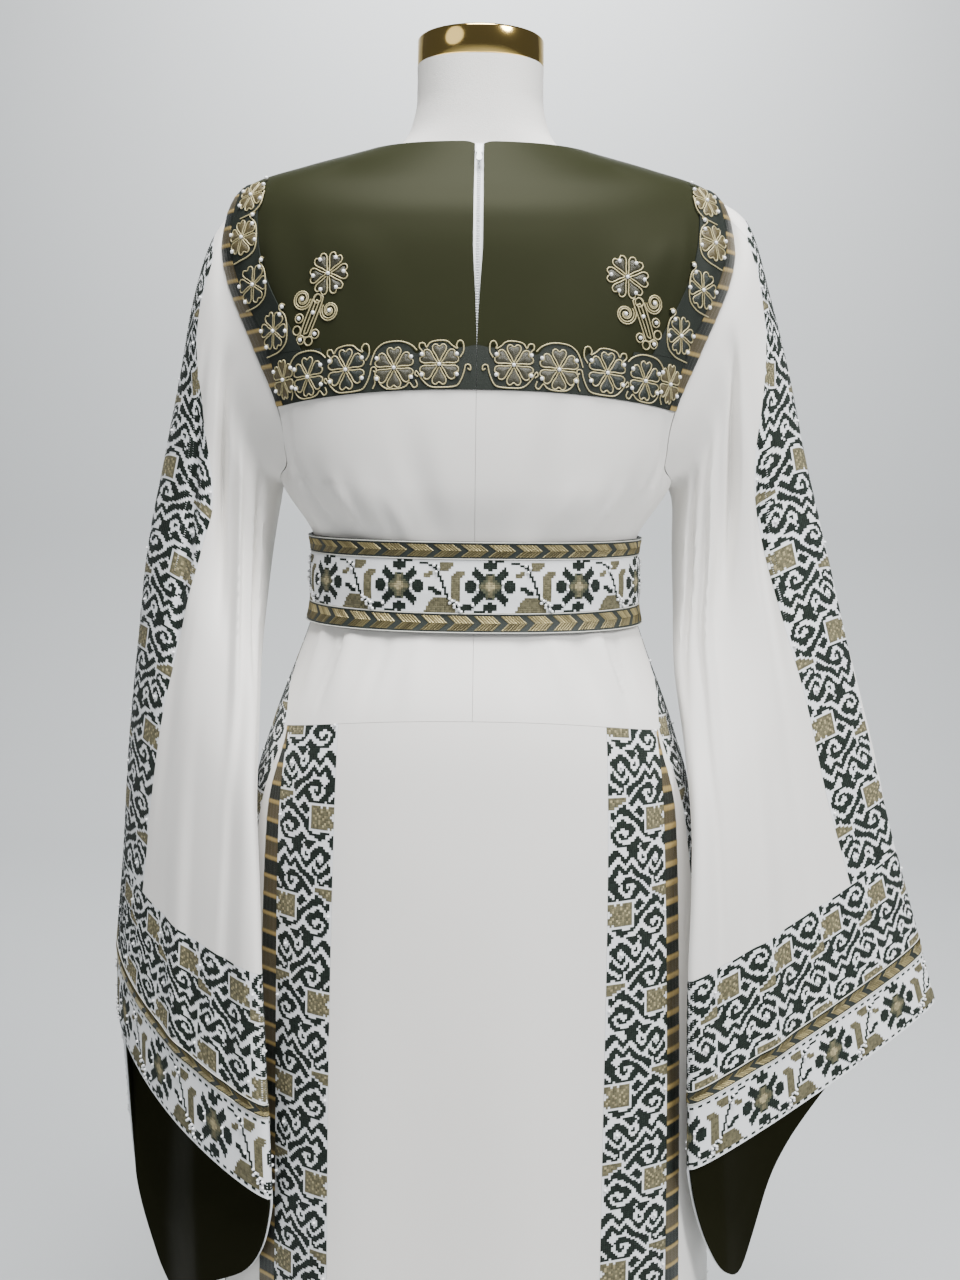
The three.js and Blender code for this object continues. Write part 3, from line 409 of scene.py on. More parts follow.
def wall(name, cloth, material, lift=0.0, thick=CLOTH, relief=None):
    """A closed cloth wall: its outer face is `lift` off the surface, its inner one `thick` below that."""
    down, across = cloth.grid.shape[:2]
    raised = lift if relief is None else lift + relief[..., None]
    outer, inner = cloth.grid + cloth.normal * raised, cloth.grid + cloth.normal * (lift - thick)
    number = np.arange(down * across).reshape(down, across)
    if cloth.closed:
        number = np.hstack([number, number[:, :1]])
    below = number + down * across
    faces = [
        quads(number[:-1, :-1], number[:-1, 1:], number[1:, 1:], number[1:, :-1]),
        quads(below[:-1, :-1], below[1:, :-1], below[1:, 1:], below[:-1, 1:]),
        quads(below[0, :-1], below[0, 1:], number[0, 1:], number[0, :-1]),
        quads(number[-1, :-1], number[-1, 1:], below[-1, 1:], below[-1, :-1]),
    ]
    if not cloth.closed:
        faces.append(quads(below[:-1, 0], number[:-1, 0], number[1:, 0], below[1:, 0]))
        faces.append(quads(number[:-1, -1], below[:-1, -1], below[1:, -1], number[1:, -1]))
    faces = np.vstack(faces)
    if cloth.facing < 0:
        faces = faces[:, ::-1]
    points = np.vstack([outer.reshape(-1, 3), inner.reshape(-1, 3)])
    return make_mesh(f"{name}_cloth", points, faces, material, sharp=60)


def sewn(piece, cloth, slot, held="draped", rests=("form_torso",), trims=()):
    """Attaches a cloth piece to the gown's body and hides the CAD node that it stands for."""
    width, length, area = cloth.cut()
    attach(piece, "gown")
    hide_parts(piece.name.removesuffix("_cloth"))
    return piece


# Its crepe is matt with a faint sheen, a fine pebbled grain and a ghost of slack left from the pressing.
CREPE_COLOUR = (0.815, 0.795, 0.76)


def grain(material, shader, layers, strength, distance=0.001):
    """Adds fine noise, in layers of (scale per metre, weight), to a finish as bump."""
    nodes, links = material.node_tree.nodes, material.node_tree.links
    place = nodes.new("ShaderNodeTexCoord")
    height = None
    for scale, weight in layers:
        noise = nodes.new("ShaderNodeTexNoise")
        noise.inputs["Scale"].default_value = scale
        noise.inputs["Detail"].default_value = 3
        links.new(place.outputs["Object"], noise.inputs["Vector"])
        layer = nodes.new("ShaderNodeMath")
        layer.operation = "MULTIPLY_ADD"
        layer.inputs[1].default_value = weight
        layer.inputs[2].default_value = 0
        links.new(noise.outputs["Fac"], layer.inputs[0])
        if height is not None:
            links.new(height, layer.inputs[2])
        height = layer.outputs[0]
    bump = nodes.new("ShaderNodeBump")
    bump.inputs["Strength"].default_value = strength
    bump.inputs["Distance"].default_value = distance
    links.new(height, bump.inputs["Height"])
    links.new(bump.outputs["Normal"], shader.inputs["Normal"])


crepe, crepe_shader = surface("white_crepe", CREPE_COLOUR, 0.72)
crepe_shader.inputs["Sheen Weight"].default_value = 0.25
crepe_shader.inputs["Sheen Roughness"].default_value = 0.4
crepe_shader.inputs["Specular IOR Level"].default_value = 0.35
grain(crepe, crepe_shader, [(2600, 0.10), (900, 0.08), (16, 0.9)], 0.35)


def evenly(point_at, low, high, step):
    """Ring numbers that lie about `step` millimetres apart along a line down the cloth."""
    fine = np.linspace(low, high, 121)
    lengths = Cloth.run(np.array([point_at(level) for level in fine]))
    return np.interp(np.linspace(0, lengths[-1], max(round(lengths[-1] / step), 2) + 1), lengths, fine)


def body_piece(left, right, low, high, step=6.0, across=None, up=None):
    """A panel between two edges, given as distances round at a ring number."""
    def middle(level):
        return (left(level) + right(level)) / 2

    levels = evenly(lambda level: body_row(level, [middle(level)])[0], low, high, up or step)
    widest = max(abs(right(level) - left(level)) for level in (low, (low + high) / 2, high))
    share = np.linspace(0, 1, (across or max(round(widest / step), 2)) + 1)
    return Cloth([body_row(level, left(level) + (right(level) - left(level)) * share) for level in levels])


def on_left(edge):
    return lambda level: -edge(level)


def both_sides(near, far):
    """A panel's two edges on the right and on the left."""
    return [("right", near, far), ("left", on_left(far), on_left(near))]


def centre(level):
    return 0.0


def back_edge(level):
    return armhole_edge(level)


def front_start(level):
    return armhole_edge(level, True)


def front_end(level):
    return 2 * half_round(level) - front_start(level)


for side, left, right in both_sides(centre, back_edge):
    cloth = body_piece(left, right, WAIST, YOKE_HEM, 4)
    sewn(wall(f"back_bodice_{side}", cloth, crepe), cloth, "white_crepe")
cloth = body_piece(front_start, front_end, WAIST, YOKE_HEM, 7)
sewn(wall("front_bodice", cloth, crepe), cloth, "white_crepe")

# ---- Skirt ----
# A straight centre back panel, and on each side of it a stitched band, a striped ribbon and a white gore
# that widens to the hem, then the front's own stitched band. The basque above is plain, with a centre seam.
BAND_WIDTH = 64
RIBBON_WIDTH = 20
PANEL_TOP, PANEL_HEM = 118, 122
GORE_WIDTH = {"left": 158, "right": 192}
GORE_POINT = 3
SIDE_SETBACK = 16


def mix(a, b, share):
    return a + (b - a) * share


def panel_edge(level):
    return mix(PANEL_HEM, PANEL_TOP, np.clip(level / BASQUE, 0, 1))


def band_edge(level):
    return panel_edge(level) + BAND_WIDTH


def ribbon_edge(level):
    return band_edge(level) + mix(GORE_POINT, RIBBON_WIDTH, 1 - smooth(level, BASQUE - 1, BASQUE))


def front_band_edge(gore):
    """The rear edge of the front band: past the gore on the skirt, near the side on the basque."""
    def edge(level):
        rise = between(BODY, min(level, BASQUE))[1] / BODY[BASQUE, 1]
        skirt = ribbon_edge(min(level, BASQUE)) + GORE_POINT + gore * (1 - np.clip(rise, 0, 1))
        if level <= BASQUE:
            return skirt
        waist = np.interp(90, ARC_ANGLES, ring_arcs(level)) - SIDE_SETBACK
        return mix(skirt, waist, smooth(level, BASQUE, BELT_LOW))
    return edge


def past_band(edge):
    return lambda level: edge(level) + BAND_WIDTH


cloth = body_piece(on_left(panel_edge), panel_edge, 0, BASQUE, 8)
sewn(wall("skirt_back", cloth, crepe), cloth, "white_crepe")
for side in ("right", "left"):
    front = front_band_edge(GORE_WIDTH[side])
    for name, near, far, low, high, step in [
        ("skirt_gore", ribbon_edge, front, 0, BASQUE, 9),
        ("basque_back", centre, front, BASQUE, WAIST, 4),
    ]:
        _, left, right = both_sides(near, far)[side == "left"]
        cloth = body_piece(left, right, low, high, step)
        sewn(wall(f"{name}_{side}", cloth, crepe), cloth, "white_crepe")
rear_right, rear_left = (past_band(front_band_edge(GORE_WIDTH[side])) for side in ("right", "left"))
cloth = body_piece(rear_right, lambda level: 2 * half_round(level) - rear_left(level), 0, WAIST, 12)
sewn(wall("skirt_front", cloth, crepe), cloth, "white_crepe")

# ---- Cross-stitched bands ----
# The bands are bluish white evenweave, close covered with cotton cross-stitch on a 2 mm count: dark green
# scrolls, khaki blocks with gold in them and small crystals. Each stitch is its own raised pad.
STITCH = 2.0
PAD_RISE, STITCH_FOOT = 0.55, 0.08
BAND_COUNT = 32  # stitches across a band
EVENWEAVE_COLOUR = (0.80, 0.815, 0.83)
THREADS = {
    "#": (0.010, 0.016, 0.012),
    "o": (0.125, 0.114, 0.066),
    "*": (0.30, 0.26, 0.145),
    "+": (0.070, 0.074, 0.046),
}

# Half of the scroll's repeat, from the band's left edge to its right; the other half is it, mirrored. The
# signs are dark green #, khaki o, gold *, a crystal x and bare cloth.
SCROLL_HALF = [
    "....############.######.......##",
    "...####....#######......##...###",
    "..###........####.....######..##",
    "..##..####....##...#########...#",
    ".###.###.###......###....#####..",
    ".##..##...###....##.............",
    ".###......####..###.ooooooooo.o.",
    "..####..######..###.oo*ooo*ooooo",
    "...##########..####.o*oo*oo*oo*o",
    ".x..########..#####.oooo*oooo*oo",
    "....#####....####.#.oo*ooo*oooo.",
    "..#...##...#####....o*oo*oo*oo..",
    ".###......####..##..ooo*ooooo*o.",
    ".####..######..####.oo*oo*ooo*oo",
    ".##.########.######.o*ooo*oo*ooo",
    "....#######...####..ooooo.oo.ooo",
    "ooo..####......##...............",
    "ooooo..##..##.....#########.####",
    "oo*oooo...####...####...#####.##",
    "o*oo*oooo..####.####.....####..#",
    "ooooooooo...########..##..####..",
    "..........#..######..####..####.",
    "##..###..###..####...#.##..#####",
    "#####.##.####..####....##.######",
    "####...#.#####..##########.#####",
    "##...###..######..#######...####",
    "#...######..######..####.....###",
    "..#####.###...#####.........####",
    ".####....##.....####..###..####.",
    ".###..##..#..##..###.#####.###..",
    ".##..####...####..#####.######..",
    "..#.##.##..######..###...####...",
    "...##...#.###..##...#..#..##...#",
    "..###.x..###....##....###.....##",
    ".####...####.##..##..#####...###",
    ".#####.#####..#..######.##..####",
    "..#########......#####...#######",
    "....######..##..######....#####.",
    "#....###...####.#######....###..",
    "##........######.######.........",
]
SCROLL = SCROLL_HALF + [row[::-1] for row in SCROLL_HALF]


def dyed(material, shader):
    """Takes a finish's colour from the points of its mesh."""
    dye = material.node_tree.nodes.new("ShaderNodeAttribute")
    dye.attribute_name = "thread"
    material.node_tree.links.new(dye.outputs["Color"], shader.inputs["Base Color"])


evenweave, evenweave_shader = surface("evenweave", EVENWEAVE_COLOUR, 0.8)
grain(evenweave, evenweave_shader, [(1500, 0.6), (500, 0.3)], 0.4)
thread, thread_shader = surface("cross_stitch_thread", THREADS["#"], 0.5)
thread_shader.inputs["Sheen Weight"].default_value = 0.05
thread_shader.inputs["Specular IOR Level"].default_value = 0.15
dyed(thread, thread_shader)
grain(thread, thread_shader, [(2400, 0.8)], 0.5)
chance = np.random.default_rng(7)


def colour_points(piece, colours):
    """Gives each point of a piece its thread's colour."""
    layer = piece.data.color_attributes.new(name="thread", type="FLOAT_COLOR", domain="POINT")
    layer.data.foreach_set("color", np.hstack([colours, np.ones((len(colours), 1))]).astype(np.float32).ravel())


def ball_faces():
    """A ball of 18 corners and 32 triangles: an octahedron with each face parted in four."""
    corners = [(1, 0, 0), (-1, 0, 0), (0, 1, 0), (0, -1, 0), (0, 0, 1), (0, 0, -1)]
    faces = []
    for x, y, z in [(0, 2, 4), (2, 1, 4), (1, 3, 4), (3, 0, 4), (2, 0, 5), (1, 2, 5), (3, 1, 5), (0, 3, 5)]:
        middles = []
        for a, b in ((x, y), (y, z), (z, x)):
            spot = tuple(round((corners[a][k] + corners[b][k]) / math.sqrt(2), 6) for k in range(3))
            if spot not in corners:
                corners.append(spot)
            middles.append(corners.index(spot))
        p, q, r = middles
        faces += [(x, p, r), (p, y, q), (r, q, z), (p, q, r)]
    return np.array(corners), np.array(faces)


BALL, BALL_FACES = ball_faces()


def beads(name, spots, radius, material):
    """Round beads at places, joined in one mesh."""
    spots = np.asarray(spots, float).reshape(-1, 3)
    points = spots[:, None] + BALL[None] * np.broadcast_to(radius, len(spots))[:, None, None]
    faces = np.arange(len(spots))[:, None, None] * len(BALL) + BALL_FACES
    piece = make_mesh(name, points, faces.reshape(-1, 3), material)
    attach(piece, "gown")
    return piece


CRYSTAL, CRYSTAL_LIFT = 1.5, 0.7  # size, and height of the middle in sizes
crystal, crystal_shader = surface("crystal", (0.86, 0.87, 0.88), 0.16)
crystal_shader.inputs["Coat Weight"].default_value = 0.6
crystal_shader.inputs["Specular IOR Level"].default_value = 0.8


def slant_of(cloth):
    """How far along the cloth each of its rows runs from the first column to the last."""
    ahead = np.gradient(cloth.grid.mean(1), axis=0)
    ahead /= np.linalg.norm(ahead, axis=1)[:, None]
    return ((cloth.grid[:, -1] - cloth.grid[:, 0]) * ahead).sum(1)


def cross_stitches(name, cloth, chart, columns, rows, shift=0, squared=False):
    """Raised pads, coloured by a chart that repeats across and up the cloth, in columns and rows of stitches.

    Squared rows lie straight across a cloth whose own rows slant. With the pads come the chart's crystals.
    """
    slant = slant_of(cloth) if squared else np.zeros(len(cloth.up))
    reach = np.abs(slant).max() / 2
    rows += round(2 * reach / STITCH)
    across = np.linspace(0, cloth.across[-1], columns + 1)
    up = np.linspace(-reach, cloth.up[-1] + reach, rows + 1)
    if not cloth.closed:
        across, up = across * (1 - 1e-6), up * (1 - 1e-6)
    rise = up[:, None] - np.interp(up, cloth.up, slant)[:, None] * (across / across[-1] - 0.5)
    rises = np.stack([rise[:-1, :-1], rise[:-1, 1:], rise[1:, 1:], rise[1:, :-1]])
    inside = (rises.min(0) >= 0) & (rises.max(0) <= cloth.up[-1])
    rises = rises.mean(0)
    corners = cloth.at(across[:-1], rise[:, :-1], STITCH_FOOT) if cloth.closed else cloth.at(across, rise, STITCH_FOOT)
    signs = np.array([list(row) for row in chart])
    codes = signs[np.arange(rows)[:, None] % signs.shape[0], (np.arange(columns)[None] - shift) % signs.shape[1]]
    codes = np.where(inside, codes, ".")
    i, j = np.nonzero(codes == "x")
    jewels = beads(f"{name}_crystals", cloth.at((across[j] + across[j + 1]) / 2, rises[i, j], CRYSTAL * CRYSTAL_LIFT),
                   CRYSTAL, crystal)
    i, j = np.nonzero((codes != ".") & (codes != "x"))
    k = (j + 1) % corners.shape[1]
    ring = np.stack([corners[i, j], corners[i, k], corners[i + 1, k], corners[i + 1, j]], 1)
    middle = ring.mean(1)
    out = cloth.at((across[j] + across[j + 1]) / 2, rises[i, j], 1.0)
    out -= cloth.at((across[j] + across[j + 1]) / 2, rises[i, j], 0.0)
    points = np.concatenate([ring, (middle + out * PAD_RISE)[:, None]], 1).reshape(-1, 3)
    base = np.arange(len(i))[:, None, None] * 5
    faces = (base + np.array([[0, 1, 4], [1, 2, 4], [2, 3, 4], [3, 0, 4]])).reshape(-1, 3)
    if cloth.facing < 0:
        faces = faces[:, ::-1]
    piece = make_mesh(name, points, faces, thread)
    colours = np.array([THREADS[code] for code in codes[i, j]])
    colours = colours * chance.uniform(0.72, 1.35, (len(i), 1))
    colour_points(piece, np.repeat(colours, 5, axis=0))
    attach(piece, "gown")
    return [piece, jewels]


def stitched_band(name, cloth, chart=SCROLL, columns=None, rows=None, held="draped", rests=("form_torso",),
                  squared=False):
    """A band of evenweave with its stitches, on the chart's own count where none is given."""
    rows = rows or max(round(cloth.up[-1] / STITCH), 1)
    columns = columns or round(cloth.across[-1] / STITCH)
    stitches = cross_stitches(f"{name}_stitches", cloth, chart, columns, rows, squared=squared)
    sewn(wall(name, cloth, evenweave), cloth, "cross_stitch", held=held, rests=rests, trims=stitches)


for side in ("right", "left"):
    front = front_band_edge(GORE_WIDTH[side])
    for name, near, far, high in [
        ("skirt_band_back", panel_edge, band_edge, BASQUE),
        ("skirt_band_front", front, past_band(front), WAIST),
    ]:
        _, left, right = both_sides(near, far)[side == "left"]
        stitched_band(f"{name}_{side}", body_piece(left, right, 0, high, across=12, up=8), columns=BAND_COUNT)

# ---- Striped ribbon ----
# A corded ribbon 20 mm wide, woven in blocks of black green and brown with a gold bar between them. It
# covers the seam between band and gore, and on the yoke it edges the back of the armhole.
STRIPE_REPEAT = 16.5
GOLD_BAR = 4.2
RIBBON_DYES = {"green": (0.012, 0.016, 0.013), "brown": (0.085, 0.068, 0.036), "gold": (0.36, 0.26, 0.095)}
LANES = 4


def ribbon_weave(piece, cloth, start=0.0):
    """Colours a ribbon's outer points by its blocks and bars, and its other points dark."""
    rows, columns = cloth.grid.shape[:2]
    length = cloth.up + start
    block = np.floor(length / STRIPE_REPEAT).astype(int) % 2
    colours = np.where(block[:, None] == 0, [RIBBON_DYES["green"]], [RIBBON_DYES["brown"]])
    colours = np.where((length % STRIPE_REPEAT < GOLD_BAR)[:, None], [RIBBON_DYES["gold"]], colours)
    outer = np.repeat(colours, columns, axis=0)
    inner = np.tile(RIBBON_DYES["green"], (rows * columns, 1))
    colour_points(piece, np.vstack([outer, inner]))


def ribbon_relief(cloth, start=0.0):
    """Cords along the ribbon, and bars that stand a little prouder."""
    rows, columns = cloth.grid.shape[:2]
    share = np.linspace(0, 1, columns)
    cords = 0.28 * np.abs(np.sin(share * LANES * math.pi))
    bars = 0.3 * ((cloth.up + start) % STRIPE_REPEAT < GOLD_BAR)
    return cords[None] + bars[:, None]


ribbon_silk, ribbon_shader = surface("striped_ribbon", RIBBON_DYES["green"], 0.38)
dyed(ribbon_silk, ribbon_shader)
ribbon_shader.inputs["Metallic"].default_value = 0.25
grain(ribbon_silk, ribbon_shader, [(2200, 0.8)], 0.4)

for side in ("right", "left"):
    _, left, right = both_sides(band_edge, ribbon_edge)[side == "left"]
    cloth = body_piece(left, right, 0, BASQUE, across=12, up=1.65)
    piece = wall(f"skirt_ribbon_{side}", cloth, ribbon_silk, relief=ribbon_relief(cloth))
    ribbon_weave(piece, cloth)
    sewn(piece, cloth, "striped_ribbon")

# ---- Belt ----
# The belt is a stiffened band of the same evenweave with star flowers, a chevron ribbon along each edge.
BELT_GAP = 2.2
BELT_WALL = 2.5
BELT_RIBBON = 15
# One repeat of the belt, top row first: a stem with a curled leaf and a half-moon, and a star flower.
STAR_FLOWERS = [
    "............................##.####.....",
    "##.....oooooo.............######......##",
    "..##x#.oooooo.............######........",
    "....##xooooo..........#...######...#....",
    ".....#.oooo...........##....##....##....",
    "..oo.x#.......oooo...####........####...",
    "oooo..#......ooooo...#####.+##+.#####...",
    "ooo...##....ooooo.....#####+oo+#####....",
    ".......#....oooo.......####+oo+####.....",
    ".......##...oooo...###..##++oo++##..###.",
    "........#...oooo..#####x#++o**o++#x#####",
    "........#...oooo..#####.+oo****oo+.#####",
    "..###...##..oooo..#####.+oo****oo+.#####",
    "..####.x.#..oooo..#####x#++o**o++#x#####",
    "....####.#..oooo...###..##++oo++##..###.",
    ".....###.##.oooo.......####+oo+####.....",
    "..........#.oooo......#####+oo+#####....",
    "....oooooo#xoooo.....#####.+##+.#####...",
    "...oooooooo#x.oo.....####........####...",
    "..ooooooooox##x.......##....##....##....",
    "..ooooooooooox#x.####x#...######...#....",
    ".oooooooooooox#.######....######........",
    ".ooooooooooooo.x#####.....######........",
    "oooooooooooooo..x#....#####.##..........",
][::-1]
STAR_MIDDLE = 29
STAR_OFFSET = 13
CHEVRON_REPEAT = 23.0
CHEVRON_STRANDS = 6
CHEVRON_SLANT = 7.0
CHEVRON_SPACE = 6.5
CHEVRON_MARGIN, CHEVRON_RISE = 2.4, 0.9
PIPING, PIPING_LIFT, PIPING_STEP = 0.55, 0.35, 4
# The lower arms' tone is the same gold painted darker as shade; the upper arms carry the gold itself.
CHEVRON_DYES_AND_SHADE = {
    "ground": (0.012, 0.018, 0.014),
    "upper": (0.38, 0.315, 0.15),
    "lower": (0.15, 0.125, 0.058),
    "piping": (0.55, 0.55, 0.50),
}
ribbon_ground, ribbon_ground_shader = surface("chevron_ribbon", CHEVRON_DYES_AND_SHADE["ground"], 0.55)
grain(ribbon_ground, ribbon_ground_shader, [(1800, 0.8)], 0.4)
metal_thread, metal_thread_shader = surface("metal_thread", CHEVRON_DYES_AND_SHADE["upper"], 0.36)
dyed(metal_thread, metal_thread_shader)
metal_thread_shader.inputs["Metallic"].default_value = 0.55
grain(metal_thread, metal_thread_shader, [(1700, 0.8)], 0.5)
piping_cord, _ = surface("piping_cord", CHEVRON_DYES_AND_SHADE["piping"], 0.5)


def ridges(name, cloth, strands, half_width, rise, material, parts=3):
    """Satin-stitched strands: each is a low ridge on the cloth from one (across, up) place to another."""
    strands = np.asarray(strands, float)
    share = np.linspace(0, 1, parts + 1)
    line = strands[:, None, :2] + (strands[:, None, 2:] - strands[:, None, :2]) * share[None, :, None]
    side = np.broadcast_to([half_width, 0], line.shape)
    rows = []
    for offset, lift in ((-1, 0.05), (0, rise), (1, 0.05)):
        spot = line + side * offset
        rows.append(cloth.at(spot[..., 0], spot[..., 1], lift))
    points = np.stack(rows, 2)
    number = np.arange(points.shape[0] * points.shape[1] * 3).reshape(points.shape[:3])
    faces = np.vstack([
        quads(number[:, :-1, k], number[:, :-1, k + 1], number[:, 1:, k + 1], number[:, 1:, k]) for k in (0, 1)
    ])
    return make_mesh(name, points, faces, material)


def tube(name, paths, radius, material, sides=5, closed=False, twist=0.0):
    """Round cords along paths of points; a twist gives them two plies."""
    points, faces, start = [], [], 0
    for path in paths:
        path = np.asarray(path, float)
        run = Cloth.run(path)
        ahead = np.gradient(path, axis=0) if not closed else np.roll(path, -1, 0) - np.roll(path, 1, 0)
        ahead /= np.maximum(np.linalg.norm(ahead, axis=1), 1e-9)[:, None]
        upright = np.array([0.0, -0.35, 1.0]) - ahead * (ahead @ [0.0, -0.35, 1.0])[:, None]
        weak = np.linalg.norm(upright, axis=1) < 0.15
        upright[weak] = np.array([1.0, 0, 0]) - ahead[weak] * ahead[weak, :1]
        upright /= np.linalg.norm(upright, axis=1)[:, None]
        aside = np.cross(ahead, upright)
        turn = np.arange(sides) * 2 * math.pi / sides
        size = radius * (1 + (0.22 * np.cos(2 * (turn[None] - run[:, None] * twist)) if twist else 0 * run[:, None]))
        spot = path[:, None] + size[..., None] * (
            np.cos(turn)[None, :, None] * aside[:, None] + np.sin(turn)[None, :, None] * upright[:, None]
        )
        number = np.arange(len(path) * sides).reshape(len(path), sides) + start
        around = np.hstack([number, number[:, :1]])
        if closed:
            around = np.vstack([around, around[:1]])
        faces.append(quads(around[:-1, :-1], around[:-1, 1:], around[1:, 1:], around[1:, :-1]))
        points.append(spot.reshape(-1, 3))
        start += len(path) * sides
    return make_mesh(name, np.vstack(points), np.vstack(faces), material)


def chevron_trims(name, cloth):
    """Gold arrowheads along a ribbon, and a pale piping along its two edges."""
    length = cloth.across[-1]
    count = round(length / CHEVRON_REPEAT)
    repeat = length / count
    height = cloth.up[-1]
    strand = (repeat - CHEVRON_SPACE) / CHEVRON_STRANDS
    strands = []
    for k in range(count):
        for n in range(CHEVRON_STRANDS):
            start = k * repeat + (n + 0.5) * strand
            for edge in (CHEVRON_MARGIN, height - CHEVRON_MARGIN):
                strands.append([start, edge, start + CHEVRON_SLANT, height / 2])
    gold = ridges(f"{name}_gold", cloth, strands, strand * 0.46, CHEVRON_RISE, metal_thread)
    # Each arrowhead's lower arms get the painted shade and its upper arms the plain gold; every strand also varies at
    # random.
    tones = np.array([CHEVRON_DYES_AND_SHADE["lower"], CHEVRON_DYES_AND_SHADE["upper"]] * (len(strands) // 2))
    tones = tones * chance.uniform(0.65, 1.4, (len(strands), 1))
    colour_points(gold, np.repeat(tones, len(gold.data.vertices) // len(strands), axis=0))
    along = np.linspace(0, length, round(length / PIPING_STEP), endpoint=False)
    lines = [cloth.at(along, np.full_like(along, up), PIPING_LIFT) for up in (0.5, height - 0.5)]
    piping = tube(f"{name}_piping", lines, PIPING, piping_cord, closed=True)
    for piece in (gold, piping):
        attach(piece, "gown")
    return [gold, piping]


def belt_piece(low, high, rows):
    rings = []
    for level in np.linspace(low, high, rows + 1):
        half = half_round(level)
        ring = body_row(level, np.linspace(-half, half, 181)[:-1], BODY_FOLDS[:0])
        outward = ring * [1, 1, 0]
        outward /= np.linalg.norm(outward, axis=1)[:, None]
        rings.append(ring + outward * (BELT_GAP + BELT_WALL))
    return Cloth(rings, closed=True)


belt_share = BELT_RIBBON / (BODY[BELT_TOP, 0] - BODY[BELT_LOW, 0]) * (BELT_TOP - BELT_LOW)
around_waist = ("back_bodice_left", "back_bodice_right", "front_bodice")
for name, low, high in [
    ("belt_ribbon_lower", BELT_LOW, BELT_LOW + belt_share),
    ("belt_ribbon_upper", BELT_TOP - belt_share, BELT_TOP),
]:
    cloth = belt_piece(low, high, 6)
    trims = chevron_trims(name, cloth)
    piece = wall(name, cloth, ribbon_ground, thick=BELT_WALL)
    sewn(piece, cloth, "chevron_ribbon", held="stretched", rests=around_waist, trims=trims)
cloth = belt_piece(BELT_LOW + belt_share, BELT_TOP - belt_share, 12)
columns = round(cloth.across[-1] / STITCH / 40) * 40
shift = columns // 2 + round(STAR_OFFSET / cloth.across[-1] * columns) - STAR_MIDDLE
stitches = cross_stitches("belt_band_stitches", cloth, STAR_FLOWERS, columns, len(STAR_FLOWERS), shift)
piece = wall("belt_band", cloth, evenweave, thick=BELT_WALL)
sewn(piece, cloth, "cross_stitch", held="stretched", rests=around_waist, trims=stitches)

# ---- Yoke ----
# The yoke is dark olive satin, smooth and softly lustrous: two back pieces that meet at the zip, and a front.
SATIN_COLOUR = (0.0195, 0.021, 0.0105)
# The sleeve lining is the yoke's olive satin, painted darker than the yoke as the shade inside the sleeve.
SHADED_LINING_COLOUR = (0.012, 0.012, 0.006)
ZIP_OPEN = 6
NOTCH_HALF, NOTCH_DEPTH = 14, 0.3

satin, satin_shader = surface("olive_satin", SATIN_COLOUR, 0.46)
satin_shader.inputs["Sheen Weight"].default_value = 0.03
satin_shader.inputs["Sheen Roughness"].default_value = 0.3
satin_shader.inputs["Sheen Tint"].default_value = (0.75, 0.75, 0.45, 1)
satin_shader.inputs["Specular IOR Level"].default_value = 0.06
satin_shader.inputs["Specular Tint"].default_value = (0.85, 0.85, 0.6, 1)
satin_shader.inputs["Anisotropic"].default_value = 0.4
grain(satin, satin_shader, [(2200, 0.05), (22, 0.8)], 0.3)
lining_satin, lining_shader = surface("lining_satin", SHADED_LINING_COLOUR, 0.42)
lining_shader.inputs["Specular IOR Level"].default_value = 0
lining_shader.inputs["Sheen Weight"].default_value = 0.08
lining_shader.inputs["Sheen Roughness"].default_value = 0.25
grain(lining_satin, lining_shader, [(2200, 0.05), (14, 0.9)], 0.6)


def zip_edge(level):
    return ZIP_OPEN / 2 * smooth(level, YOKE_HEM + 0.3, YOKE_HEM + 1.5)


def yoke_back(left, right):
    """A back yoke piece, its neckline dipped at the zip."""
    rows = []
    levels = evenly(lambda level: body_row(level, [60])[0], YOKE_HEM, NECKLINE, 4)
    share = np.linspace(0, 1, 53)
    for level in levels:
        part = (level - YOKE_HEM) / (NECKLINE - YOKE_HEM)
        arcs = left(level) + (right(level) - left(level)) * share
        dip = NOTCH_DEPTH * np.clip(1 - np.abs(arcs) / NOTCH_HALF, 0, 1) ** 2 * part
        rows.append([body_row(level - d, [arc])[0] for arc, d in zip(arcs, dip)] if part > 0.6
                    else body_row(level, arcs))
    return Cloth(rows)


for side, left, right in both_sides(zip_edge, back_edge):
    cloth = yoke_back(left, right)
    sewn(wall(f"back_yoke_{side}", cloth, satin), cloth, "olive_satin", rests=["form_torso"])
cloth = body_piece(front_start, front_end, YOKE_HEM, NECKLINE, 7)
sewn(wall("front_yoke", cloth, satin), cloth, "olive_satin", rests=["form_torso"])

# ---- Yoke border ----
# A near-black green ground, embroidered apart and sewn on: a scalloped strip over the yoke's hem and a
# straight one up beside the armhole's striped ribbon.
ARMHOLE_RIBBON = 20
BORDER_SIDE = 34
BORDER_PEAK = 40
ARMHOLE_GAP, BORDER_GAP = 0.6, 0.75
SCALLOPS = np.array([
    [0, 38], [14, 36], [31, 40.5], [44, 36], [49, 31], [57, 38.5], [68, 41], [80, 38], [87, 31],
    [95, 36], [110, 40.5], [123, 36], [128, 32], [136, 38.5], [146, 40],
])
TRIM_LIFT, TRIM_WALL = 1.45, 1.0
BORDER_COLOUR = (0.010, 0.014, 0.010)

border_ground, border_shader = surface("border_ground", BORDER_COLOUR, 0.6)
border_shader.inputs["Specular IOR Level"].default_value = 0.3
grain(border_ground, border_shader, [(1700, 0.8)], 0.5)


def ribbon_inside(level):
    """The ribbon's inner edge: its foot runs in under the sleeve."""
    return armhole_edge(level) - ARMHOLE_RIBBON * mix(0.4, 1, smooth(level, YOKE_HEM, YOKE_HEM + 0.55)) - BORDER_GAP


